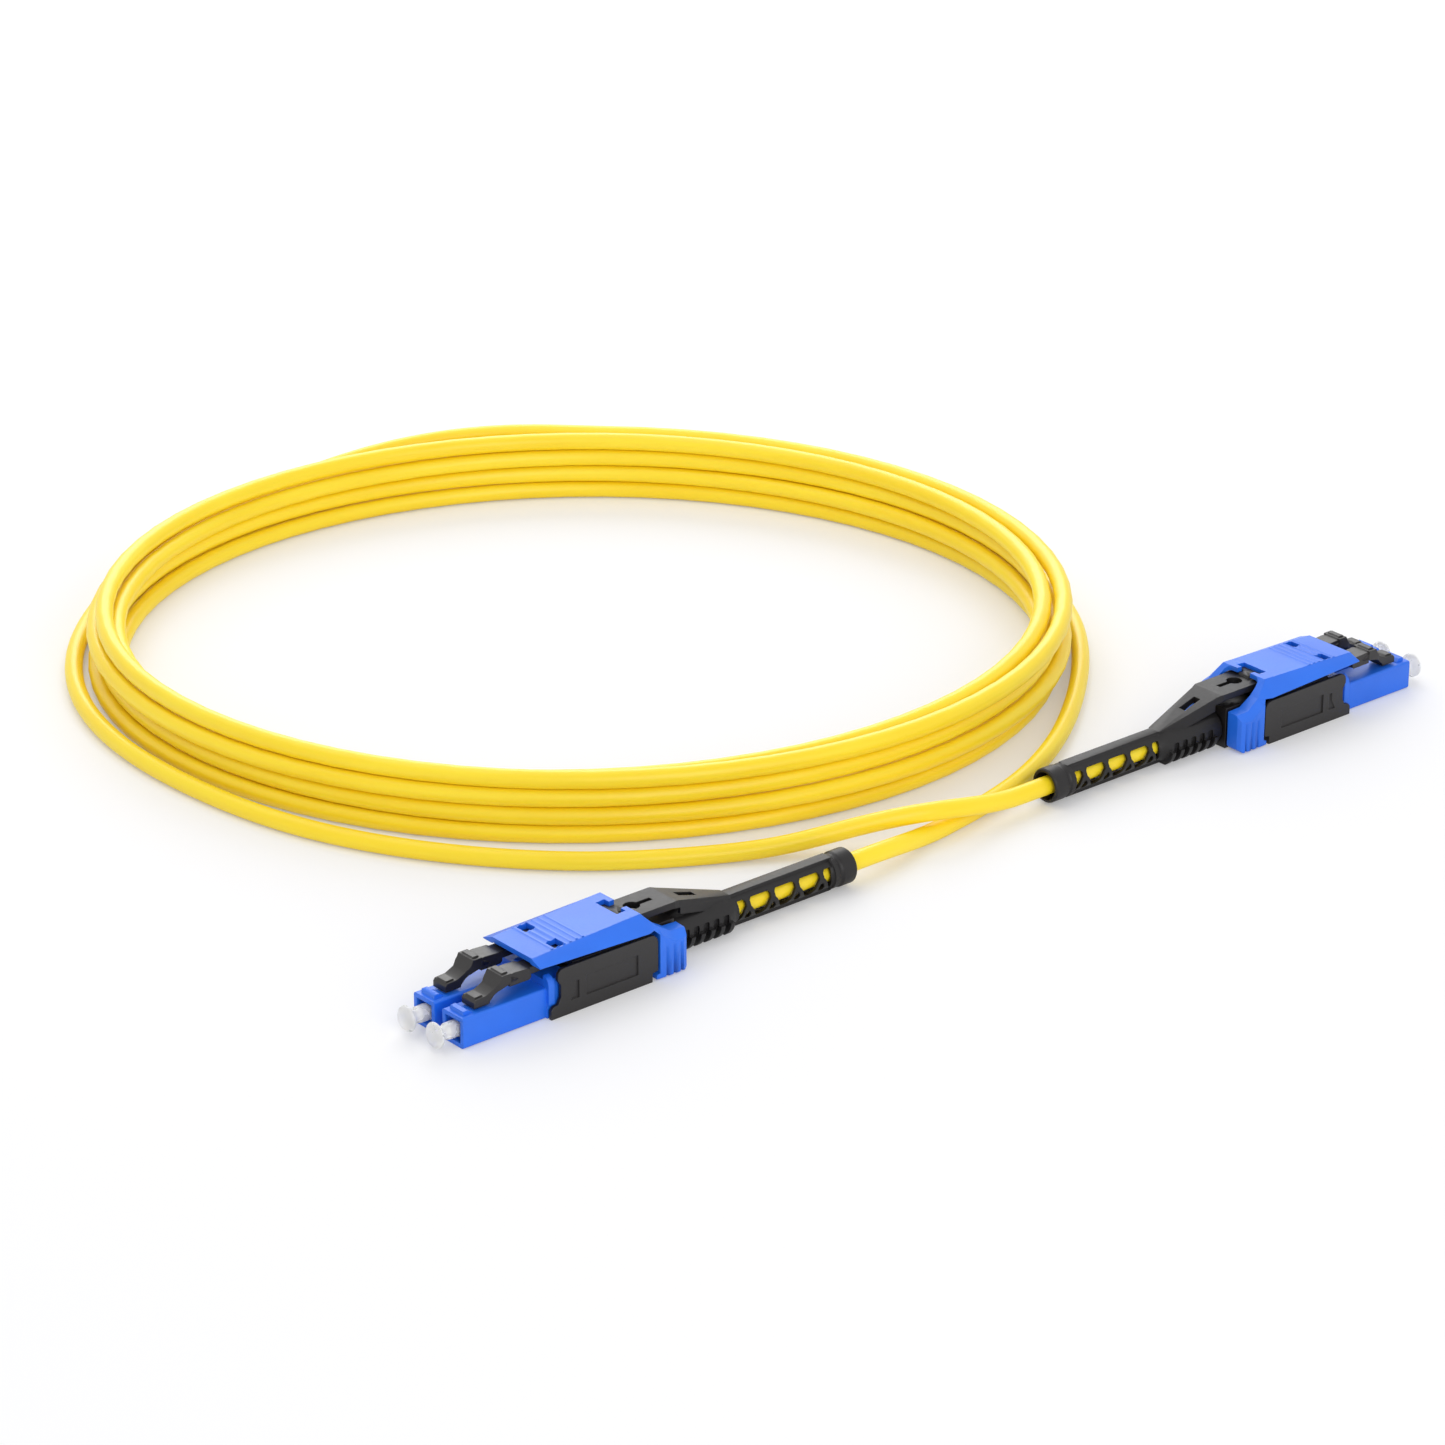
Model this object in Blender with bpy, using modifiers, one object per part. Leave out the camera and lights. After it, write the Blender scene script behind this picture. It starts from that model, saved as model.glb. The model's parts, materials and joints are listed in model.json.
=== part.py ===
"""Duplex fibre patch cord: two push-pull duplex connectors on one round cord, which lies coiled.

World frame: metres, +Z up, the floor at z = 0, the origin midway between the two connectors.
Connector frame: x runs forward from the mouth of the boot to the noses, y to the left, z up
from the floor. Both connectors are the same, and stand half a turn apart about the origin.
"""
import math

import bmesh
import bpy
import numpy as np
from mathutils import Matrix, Vector

MM = 0.001

# ---------------------------------------------------------------- driving dimensions
# clearances
SEAT_GAP = 0.3 * MM            # between two pieces that seat on each other
RUN_GAP = 0.4 * MM             # between a sliding piece and what it slides along
FLOOR_GAP = 0.1 * MM           # under pieces that don't carry the connector

# the cord
CORD_DIAMETER = 2.8 * MM
CORD_TURN_GAP = 0.46 * MM      # between one turn of the coil and the next
COIL_TURNS = 6
COIL_LAYERS = 4
COIL_CENTRE = (-54.4 * MM, 69.0 * MM)
COIL_HALF_WIDTH = 76.0 * MM    # centreline of the outermost turn, along x
COIL_HALF_DEPTH = 70.6 * MM    # the same, along y
COIL_START = math.radians(88)  # where both ends leave the coil, from +x
COIL_POINTS_PER_TURN = 24
STRAIGHT_EXIT = 5.0 * MM       # straight cord behind the boot, which the boot slides over

# where the two connectors lie
MOUTH = (14.8 * MM, 13.2 * MM)
CONNECTOR_YAW = math.radians(40.2)

# lengths along a connector, from the boot's mouth to the noses
COLLAR_LENGTH = 4.0 * MM
LATTICE_LENGTH = 18.0 * MM
NECK_LENGTH = 11.9 * MM
WING_LENGTH = 5.0 * MM
PANEL_LENGTH = 17.3 * MM
FLANGE_LENGTH = 1.0 * MM
NOSE_LENGTH = 14.0 * MM

# front housing
NOSE_WIDTH = 4.5 * MM
NOSE_HEIGHT = 4.5 * MM
NOSE_PITCH = 6.25 * MM
NOSE_CORNER = 0.35 * MM
FLANGE_TOP = 6.2 * MM
PLUG_LENGTH = 3.0 * MM
POCKET_WIDTH = 3.2 * MM
POCKET_DEPTH = 3.8 * MM
STOP_THICKNESS = 0.8 * MM
SPRING_BORE = 1.9 * MM         # radius
HUMP_LENGTH = 1.6 * MM
HUMP_WIDTH = 2.8 * MM
HUMP_HEIGHT = 0.55 * MM
HUMP_SETBACK = 0.6 * MM

# ferrules, holders, springs and fibres
FERRULE_DIAMETER = 1.25 * MM
FERRULE_LENGTH = 7.0 * MM
FERRULE_PROUD = 0.5 * MM
HOLDER_FLANGE_RADIUS = 1.5 * MM
HOLDER_FLANGE_LENGTH = 2.4 * MM
HOLDER_TAIL_LENGTH = 4.0 * MM
HOLDER_WALL = 0.3 * MM
SPRING_WIRE = 0.3 * MM
SPRING_LENGTH = 6.6 * MM
SPRING_TURNS = 5
FIBRE_DIAMETER = 0.9 * MM
FIBRE_PITCH_IN_CRIMP = 1.0 * MM
FERRULE_TRAVEL = 1.2 * MM

# back body and its lid
BODY_WIDTH = 12.6 * MM
BODY_WALL = 0.5 * MM
BODY_FLOOR = 0.4 * MM
BODY_DECK = 5.9 * MM
WALL_TOP_FRONT = 7.1 * MM
WALL_TOP_REAR = 7.0 * MM
TOE_LENGTH = 1.2 * MM           # the panels' feet beside the flange
TOE_HEIGHT = 1.8 * MM
REAR_BLOCK_TOP = 6.5 * MM
REAR_BLOCK_WIDTH = 6.4 * MM
REAR_WALL = 6.0 * MM
FIBRE_ROOM_WIDTH = 8.8 * MM
LID_HEIGHT = 1.7 * MM
LID_STEP = 0.7 * MM            # lower at the rear, under the tongue
LID_STEP_LENGTH = 3.1 * MM
RETAINER_THICKNESS = 1.5 * MM
BOSS_LENGTH = 3.5 * MM

# sliding cover
COVER_WALL = 0.75 * MM
COVER_RISE = 0.75 * MM         # the top plate climbs by this from front to rear
PLATE_WIDTH = 8.8 * MM
PLATE_SETBACK = 1.8 * MM       # the plate's rear edge, ahead of the wings
SKIRT_WIDTH = 12.4 * MM
WING_WIDTH = 13.0 * MM         # across both wings
WING_TOP = 5.0 * MM
WING_CREST = 6.2 * MM
LIP_OVERHANG = 1.6 * MM
LIP_HEIGHT = 0.9 * MM
RIDGE_COUNT = 6
RIDGE_PITCH = 1.05 * MM
RIDGE_HEIGHT = 0.15 * MM
RIDGE_START = 3.3 * MM         # behind the lip
WINDOW_LENGTH = 1.7 * MM
WINDOW_WIDTH = 2.0 * MM
WINDOW_SETBACK = 2.9 * MM      # its rear edge, behind the body's front
GRIP_COUNT = 3
GRIP_WIDTH = 0.6 * MM
GRIP_DEPTH = 0.3 * MM
FOOT_STEP = 0.6 * MM
SLOT_NECK_WIDTH = 2.6 * MM     # T-slot in the plate's rear edge
SLOT_NECK_LENGTH = 0.9 * MM
SLOT_HEAD_WIDTH = 4.6 * MM
SLOT_HEAD_LENGTH = 1.5 * MM
RELEASE_TRAVEL = 2.5 * MM

# latches
ARM_THICKNESS = 1.1 * MM
ARM_WIDTH = 2.4 * MM
SHOULDER_WIDTH = 3.3 * MM
SHOULDER_LENGTH = 1.5 * MM
SHOULDER_RISE = 0.35 * MM      # above the arm
FOOT_WIDTH = 2.7 * MM
FOOT_LENGTH = 2.0 * MM
FOOT_SETBACK = 2.6 * MM        # its front, behind the nose's front face
NUB_LENGTH = 0.7 * MM
NUB_RISE = 0.25 * MM           # above the underside of the cover's plate at the lip

# crimp
CRIMP_BARREL = 1.7 * MM        # radius
CRIMP_BORE = 1.1 * MM          # radius
CRIMP_STEM = 1.35 * MM         # radius
CRIMP_FLANGE_THICKNESS = 1.0 * MM
STEM_LENGTH = 3.1 * MM
RING_LENGTH = 6.4 * MM
RING_WALL = 0.3 * MM
RING_CLEARANCE = 0.25 * MM

# boot
TAIL_WALL = 0.45 * MM
COLLAR_WALL = 0.9 * MM
NECK_WALL = 0.55 * MM
SPINE_WIDTH = 1.8 * MM
SPINE_HEIGHT = 0.35 * MM
LATTICE_OPENINGS = 3           # whole ones on each side, with a half one at each end
NECK_GROOVES = 5
TONGUE_THICKNESS = 1.0 * MM
TONGUE_WIDTH = 5.8 * MM
TONGUE_LENGTH = 7.6 * MM       # flat, from the strap's bend to the plate's edge
KEYHOLE_RADIUS = 1.2 * MM
KEYHOLE_SLOT = 0.8 * MM
STRAP_THICKNESS = 1.1 * MM
STRAP_WINDOW_LENGTH = 3.2 * MM
STRAP_WINDOW_WIDTH = 1.3 * MM
WEB_WALL = 0.6 * MM

# dust caps
CAP_DISC_DIAMETER = 3.8 * MM
CAP_DISC_THICKNESS = 1.3 * MM
CAP_STANDOFF = 3.6 * MM        # from the nose's front face to the cap's front face
CAP_STEM_DIAMETER = 2.4 * MM
CAP_NECK_DIAMETER = 1.7 * MM
CAP_STEM_INSIDE = 3.3 * MM     # how far the stem reaches into the pocket

# ---------------------------------------------------------------- stations that follow
X_LATTICE = COLLAR_LENGTH
X_NECK = X_LATTICE + LATTICE_LENGTH
X_BOOT_FRONT = X_NECK + NECK_LENGTH
X_BODY_REAR = X_BOOT_FRONT + SEAT_GAP
X_WING_FRONT = X_BODY_REAR + WING_LENGTH
X_PANEL_REAR = X_WING_FRONT + SEAT_GAP
X_BODY_FRONT = X_PANEL_REAR + PANEL_LENGTH
X_FLANGE_REAR = X_BODY_FRONT + SEAT_GAP
X_FLANGE_FRONT = X_FLANGE_REAR + FLANGE_LENGTH
X_NOSE = X_FLANGE_FRONT + NOSE_LENGTH
X_PLUG_REAR = X_FLANGE_REAR - PLUG_LENGTH
X_RETAINER_FRONT = X_PLUG_REAR - SEAT_GAP
X_RETAINER_REAR = X_RETAINER_FRONT - RETAINER_THICKNESS
X_LIP = X_FLANGE_FRONT + LIP_OVERHANG
X_PLATE_REAR = X_WING_FRONT + PLATE_SETBACK
X_STOP_REAR = X_NOSE - POCKET_DEPTH - STOP_THICKNESS
X_ROOM_REAR = X_BODY_REAR + REAR_WALL
WINDOW_REAR = X_BODY_FRONT - WINDOW_SETBACK
X_LID_REAR = X_ROOM_REAR + 1.3 * MM
X_LID_FRONT = WINDOW_REAR - 0.2 * MM

BODY_HALF = BODY_WIDTH / 2
CHANNEL_HALF = BODY_HALF - BODY_WALL
LID_TOP = BODY_DECK + SEAT_GAP + LID_HEIGHT
PLATE_TOP = LID_TOP + RUN_GAP + COVER_WALL
PLATE_TOP_REAR = PLATE_TOP + COVER_RISE
PLATE_HALF = PLATE_WIDTH / 2
WING_HALF = WING_WIDTH / 2
SKIRT_FRONT = PLATE_TOP - LIP_HEIGHT
SKIRT_REAR = WALL_TOP_REAR + RUN_GAP
BLOCK_HALF = REAR_BLOCK_WIDTH / 2
BAY_HALF = BLOCK_HALF + RUN_GAP
ARM_TOP = PLATE_TOP - COVER_WALL - RUN_GAP
NOSE_CENTRE = NOSE_PITCH / 2
FERRULE_Z = NOSE_HEIGHT / 2
CORD_RADIUS = CORD_DIAMETER / 2
FIBRE_RADIUS = FIBRE_DIAMETER / 2
FERRULE_RADIUS = FERRULE_DIAMETER / 2
RING_INNER = CORD_RADIUS + RING_CLEARANCE
RING_OUTER = RING_INNER + RING_WALL
NECK_BORE = RING_OUTER + SEAT_GAP
NECK_RADIUS = NECK_BORE + NECK_WALL
TAIL_BORE = CORD_RADIUS + SEAT_GAP + 0.05 * MM
TAIL_RADIUS = TAIL_BORE + TAIL_WALL
COLLAR_RADIUS = TAIL_BORE + COLLAR_WALL
CORD_Z = NECK_RADIUS + FLOOR_GAP
X_CRIMP_REAR = X_BODY_REAR - STEM_LENGTH
X_RING_REAR = X_CRIMP_REAR - RING_LENGTH / 2
X_CORD_END = X_CRIMP_REAR - SEAT_GAP
HINGE_X = X_NOSE - 3.5 * MM
HINGE_Z = NOSE_HEIGHT + SEAT_GAP
TONGUE_TOP = PLATE_TOP_REAR - COVER_WALL - SEAT_GAP
X_BEND = X_PLATE_REAR - TONGUE_LENGTH

# colours, sRGB as the eye sees them, with roughness and metallic
FINISHES = {
    "blue_plastic": ("2F6BE0", 0.38, 0.0),
    "black_plastic": ("1B1A1B", 0.45, 0.0),
    "yellow_jacket": ("F4C70C", 0.5, 0.0),
    "clear_cap": ("F2F4F5", 0.3, 0.0),
    "zirconia": ("F4F1EA", 0.15, 0.0),
    "nickel": ("C9C6BE", 0.3, 1.0),
    "spring_steel": ("B9BABC", 0.3, 1.0),
    "buffer_white": ("EDEBE4", 0.5, 0.0),
}


# ---------------------------------------------------------------- workshop helpers
def empty_scene():
    """Removes what is in the scene and makes the two collections."""
    for item in list(bpy.data.objects):
        bpy.data.objects.remove(item)
    made = []
    for title in ("fiber_patch_cord", "cutters"):
        group = bpy.data.collections.new(title)
        bpy.context.scene.collection.children.link(group)
        made.append(group)
    return made


def finish_material(name):
    """The Principled material of one of the FINISHES."""
    material = bpy.data.materials.get(name)
    if material:
        return material
    code, roughness, metallic = FINISHES[name]
    srgb = [int(code[i:i + 2], 16) / 255 for i in (0, 2, 4)]
    linear = [c / 12.92 if c <= 0.04045 else ((c + 0.055) / 1.055) ** 2.4 for c in srgb]
    material = bpy.data.materials.new(name)
    material.use_nodes = True
    shader = material.node_tree.nodes["Principled BSDF"]
    shader.inputs["Base Color"].default_value = (*linear, 1)
    shader.inputs["Roughness"].default_value = roughness
    shader.inputs["Metallic"].default_value = metallic
    return material


def workshop_object(name, mesh):
    """A guide or cutter: an object that the cutters' collection holds, drawn as wire."""
    item = bpy.data.objects.new(name, mesh)
    CUTTERS.objects.link(item)
    item.display_type = "WIRE"
    item.hide_render = True
    return item


def evaluated_mesh(item):
    """The item's mesh as its modifiers leave it, welded, in the frame that it was drawn in."""
    bpy.context.view_layer.update()
    graph = bpy.context.evaluated_depsgraph_get()
    mesh = bpy.data.meshes.new_from_object(item.evaluated_get(graph))
    mesh.transform(item.matrix_world)
    skin = bmesh.new()
    skin.from_mesh(mesh)
    bmesh.ops.remove_doubles(skin, verts=skin.verts, dist=0.001 * MM)
    bmesh.ops.recalc_face_normals(skin, faces=skin.faces)
    skin.to_mesh(mesh)
    skin.free()
    return mesh


def as_mesh(item):
    """Turns a curve or a modified object into a plain mesh object of the same name."""
    name = item.name
    mesh = evaluated_mesh(item)
    bpy.data.objects.remove(item)
    return workshop_object(name, mesh)


# each plane's outline axes, and the axis that the outline is drawn along
PLANES = {
    "XY": Matrix(((1, 0, 0, 0), (0, 1, 0, 0), (0, 0, 1, 0), (0, 0, 0, 1))),
    "XZ": Matrix(((1, 0, 0, 0), (0, 0, -1, 0), (0, 1, 0, 0), (0, 0, 0, 1))),
    "YZ": Matrix(((0, 0, 1, 0), (1, 0, 0, 0), (0, 1, 0, 0), (0, 0, 0, 1))),
}


def extruded(name, plane, outline, low, high):
    """A flat outline drawn in a plane and given thickness from low to high across it."""
    curve = bpy.data.curves.new(name, "CURVE")
    curve.dimensions = "2D"
    curve.fill_mode = "BOTH"
    curve.extrude = (high - low) / 2
    spline = curve.splines.new("POLY")
    spline.points.add(len(outline) - 1)
    for point, (u, v) in zip(spline.points, outline):
        point.co = (u, v, 0, 1)
    spline.use_cyclic_u = True
    item = workshop_object(name, curve)
    middle = (low + high) / 2 * (-1 if plane == "XZ" else 1)
    item.matrix_world = PLANES[plane] @ Matrix.Translation((0, 0, middle))
    return as_mesh(item)


def block(name, low, high):
    """A rectangular block between two corners."""
    mesh = bpy.data.meshes.new(name)
    skin = bmesh.new()
    bmesh.ops.create_cube(skin, size=1)
    size = Vector(high) - Vector(low)
    middle = (Vector(high) + Vector(low)) / 2
    bmesh.ops.transform(skin, matrix=Matrix.Translation(middle) @ Matrix.Diagonal((*size, 1)), verts=skin.verts)
    skin.to_mesh(mesh)
    skin.free()
    return workshop_object(name, mesh)


def lofted(name, sections):
    """A closed solid through outlines of as many points each, given as (x, [(y, z), ...])."""
    mesh = bpy.data.meshes.new(name)
    skin = bmesh.new()
    rings = [[skin.verts.new((x, y, z)) for y, z in outline] for x, outline in sections]
    for rear, front in zip(rings, rings[1:]):
        for i, vertex in enumerate(rear):
            following = (i + 1) % len(rear)
            skin.faces.new((vertex, rear[following], front[following], front[i]))
    skin.faces.new(rings[0])
    skin.faces.new(rings[-1])
    bmesh.ops.recalc_face_normals(skin, faces=skin.faces)
    bmesh.ops.triangulate(skin, faces=skin.faces)
    skin.to_mesh(mesh)
    skin.free()
    return workshop_object(name, mesh)


def turned(name, profile, y=0.0, z=0.0, steps=24):
    """A profile of (x, radius) points, closed on itself or on the axis, turned about a line along x."""
    mesh = bpy.data.meshes.new(name)
    points = [(radius, 0, x) for x, radius in profile]
    on_axis = profile[0][1] == 0 and profile[-1][1] == 0
    edges = [(i, i + 1) for i in range(len(points) - 1)]
    if not on_axis:
        edges.append((len(points) - 1, 0))
    mesh.from_pydata(points, edges, [])
    item = workshop_object(name, mesh)
    screw = item.modifiers.new("Turn", "SCREW")
    screw.steps = screw.render_steps = steps
    screw.use_merge_vertices = True
    screw.merge_threshold = 0.001 * MM
    item.matrix_world = Matrix.Translation((0, y, z)) @ PLANES["YZ"]
    return as_mesh(item)


def bar(x0, x1, radius, bore=0.0):
    """The profile of a bar or tube from x0 to x1, down its outer side from the front."""
    if bore:
        return [(x1, radius), (x0, radius), (x0, bore), (x1, bore)]
    return [(x1, 0), (x1, radius), (x0, radius), (x0, 0)]


def combine(piece, operation, *tools):
    """Joins to the piece, cuts from it, or keeps of it what the tools share with it."""
    for tool in tools:
        step = piece.modifiers.new(tool.name, "BOOLEAN")
        step.operation = operation
        step.object = tool
        step.solver = "EXACT"
    return piece


def join(piece, *tools):
    return combine(piece, "UNION", *tools)


def cut(piece, *tools):
    return combine(piece, "DIFFERENCE", *tools)


def keep(piece, *tools):
    return combine(piece, "INTERSECT", *tools)


def arc(centre, radius, start, end, steps):
    """Points of an arc, from the start angle to the end angle in degrees."""
    angles = [math.radians(start + (end - start) * i / steps) for i in range(steps + 1)]
    return [(centre[0] + radius * math.cos(a), centre[1] + radius * math.sin(a)) for a in angles]


def mirrored(half):
    """A closed outline from its left half, whose points run from the bottom up."""
    return half + [(-u, v) for u, v in reversed(half)]


def tube_curve(name, path, radius, resolution):
    """A round tube with closed ends along a list of points."""
    curve = bpy.data.curves.new(name, "CURVE")
    curve.dimensions = "3D"
    curve.bevel_depth = radius
    curve.bevel_resolution = resolution
    curve.use_fill_caps = True
    spline = curve.splines.new("POLY")
    spline.points.add(len(path) - 1)
    for point, place in zip(spline.points, path):
        point.co = (*place, 1)
    return curve


# ---------------------------------------------------------------- the connector's pieces
def front_housing():
    """Blue housing: two noses with open pockets, a shared flange, and the plug behind it."""
    half = NOSE_WIDTH / 2
    r = NOSE_CORNER
    corners = ((half - r, r, -90, 0), (half - r, NOSE_HEIGHT - r, 0, 90))
    nose_half = [p for y, z, a, b in corners for p in arc((y, z), r, a, b, 2)]
    round_top = 1.2 * MM
    corner = (BODY_HALF - RUN_GAP - round_top, FLANGE_TOP - round_top)
    flange_half = [(BODY_HALF - RUN_GAP, 0)] + arc(corner, round_top, 0, 90, 3)
    housing = extruded("front_housing", "YZ", mirrored(flange_half), X_FLANGE_REAR, X_FLANGE_FRONT)
    plug_half = CHANNEL_HALF - SEAT_GAP
    plug_top = BODY_DECK - SEAT_GAP
    overlap = 0.2 * MM
    reach = 1 * MM
    join(housing, block("plug", (X_PLUG_REAR, -plug_half, 0), (X_FLANGE_REAR + overlap, plug_half, plug_top)))
    for side, name in ((1, "left"), (-1, "right")):
        y = side * NOSE_CENTRE
        section = [(y + u, v) for u, v in mirrored(nose_half)]
        join(housing, extruded(f"nose_{name}", "YZ", section, X_FLANGE_FRONT - overlap, X_NOSE))
        front = X_NOSE - HUMP_SETBACK
        top = NOSE_HEIGHT + HUMP_HEIGHT
        low = NOSE_HEIGHT - overlap
        hump = [(front, low), (front - 0.1 * MM, top), (front - 0.6 * HUMP_LENGTH, top),
                (front - HUMP_LENGTH, NOSE_HEIGHT + 0.1 * MM), (front - HUMP_LENGTH, low)]
        join(housing, extruded(f"hump_{name}", "XZ", hump, y - HUMP_WIDTH / 2, y + HUMP_WIDTH / 2))
        inside = POCKET_WIDTH / 2
        cut(housing, block(f"pocket_{name}", (X_NOSE - POCKET_DEPTH, y - inside, FERRULE_Z - inside),
                           (X_NOSE + reach, y + inside, FERRULE_Z + inside)))
        cut(housing, turned(f"stop_hole_{name}", bar(X_STOP_REAR - reach, X_NOSE - reach, FERRULE_RADIUS + RUN_GAP),
                            y, FERRULE_Z, 16))
        cut(housing, turned(f"spring_bore_{name}", bar(X_PLUG_REAR - reach, X_STOP_REAR, SPRING_BORE),
                            y, FERRULE_Z, 20))
        # way for the latch arm as it is pressed, and room for the side panel's toe
        way = ARM_WIDTH / 2 + SEAT_GAP
        cut(housing, block(f"arm_way_{name}", (X_FLANGE_REAR - overlap, y - way, plug_top),
                           (X_FLANGE_FRONT + reach, y + way, FLANGE_TOP + reach)))
        low, high = sorted((side * plug_half, side * (BODY_HALF + reach)))
        cut(housing, block(f"toe_way_{name}", (X_FLANGE_REAR - reach, low, -reach),
                           (X_BODY_FRONT + TOE_LENGTH + SEAT_GAP, high, TOE_HEIGHT + SEAT_GAP)))
    return housing


def back_body():
    """Black body: side panels with waved front edges, fibre room, deck, and the rear block between the wings."""
    toe = X_BODY_FRONT + TOE_LENGTH
    wave = 0.5 * MM
    side = [(toe, 0), (toe, TOE_HEIGHT - 0.5 * MM), (toe - 0.4 * MM, TOE_HEIGHT), (X_BODY_FRONT, TOE_HEIGHT + 0.1 * MM),
            (X_BODY_FRONT - wave, TOE_HEIGHT + 1.1 * MM), (X_BODY_FRONT - wave, WALL_TOP_FRONT - 2.4 * MM),
            (X_BODY_FRONT, WALL_TOP_FRONT - 1.6 * MM)]
    side += arc((X_BODY_FRONT - 1.0 * MM, WALL_TOP_FRONT - 1.0 * MM), 1.0 * MM, 0, 90, 3)
    side += arc((X_PANEL_REAR + 1.2 * MM, WALL_TOP_REAR - 1.2 * MM), 1.2 * MM, 90, 180, 3)
    side += [(X_PANEL_REAR, 1.5 * MM), (X_PANEL_REAR + FOOT_STEP + RUN_GAP, 1.3 * MM), (X_PANEL_REAR + FOOT_STEP + RUN_GAP, 0)]
    body = extruded("back_body", "XZ", side, -BODY_HALF, BODY_HALF)
    past = 1 * MM
    front, top = toe + past, WALL_TOP_REAR + past
    cut(body, block("channel", (X_PANEL_REAR - past, -CHANNEL_HALF, BODY_DECK), (front, CHANNEL_HALF, top)))
    join(body, block("rear_block", (X_BODY_REAR, -BLOCK_HALF, FLOOR_GAP), (X_ROOM_REAR, BLOCK_HALF, REAR_BLOCK_TOP)))
    room = FIBRE_ROOM_WIDTH / 2
    cut(body, block("fibre_room", (X_ROOM_REAR, -room, BODY_FLOOR), (front, room, top)))
    seat = X_RETAINER_REAR - SEAT_GAP
    cut(body, block("retainer_seat", (seat, -CHANNEL_HALF, BODY_FLOOR), (front, CHANNEL_HALF, top)))
    cut(body, block("plug_way", (X_RETAINER_FRONT, -CHANNEL_HALF, -past), (front, CHANNEL_HALF, top)))
    cut(body, turned("crimp_hole", bar(X_BODY_REAR - past, X_ROOM_REAR + past, CRIMP_BARREL + SEAT_GAP), 0, CORD_Z, 20))
    depth = 0.2 * MM
    for sign, name in ((1, "left"), (-1, "right")):
        face = sign * BODY_HALF
        low, high = sorted((face - sign * depth, face + sign * past))
        cut(body, block(f"panel_recess_{name}", (X_PANEL_REAR + 3.5 * MM, low, 1.9 * MM),
                        (X_BODY_FRONT - 4.8 * MM, high, 4.9 * MM)))
        arrow = [(X_BODY_FRONT - 3.6 * MM, 1.9 * MM), (X_BODY_FRONT - 2.1 * MM, 1.9 * MM), (X_BODY_FRONT - 2.9 * MM, 3.3 * MM),
                 (X_BODY_FRONT - 2.9 * MM, 4.6 * MM), (X_BODY_FRONT - 3.6 * MM, 4.6 * MM)]
        cut(body, extruded(f"panel_arrow_{name}", "XZ", arrow, low, high))
    return body


def body_lid():
    """Black lid over the fibre room, which the cover slides along; its rear is lower, under the tongue."""
    low = BODY_DECK + SEAT_GAP
    foot = CHANNEL_HALF - SEAT_GAP
    half = [(foot, low), (foot, low + 0.8 * MM), (PLATE_HALF - COVER_WALL, LID_TOP)]
    lid = extruded("body_lid", "YZ", mirrored(half), X_LID_REAR, X_LID_FRONT)
    step = X_LID_REAR + LID_STEP_LENGTH
    side = [(X_LID_FRONT + 1 * MM, low - 1 * MM), (X_LID_FRONT + 1 * MM, LID_TOP + 1 * MM), (step + LID_STEP + 1 * MM, LID_TOP + 1 * MM),
            (step, LID_TOP - LID_STEP), (X_LID_REAR - 1 * MM, LID_TOP - LID_STEP), (X_LID_REAR - 1 * MM, low - 1 * MM)]
    return keep(lid, extruded("lid_side", "XZ", side, -BODY_HALF, BODY_HALF))


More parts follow.
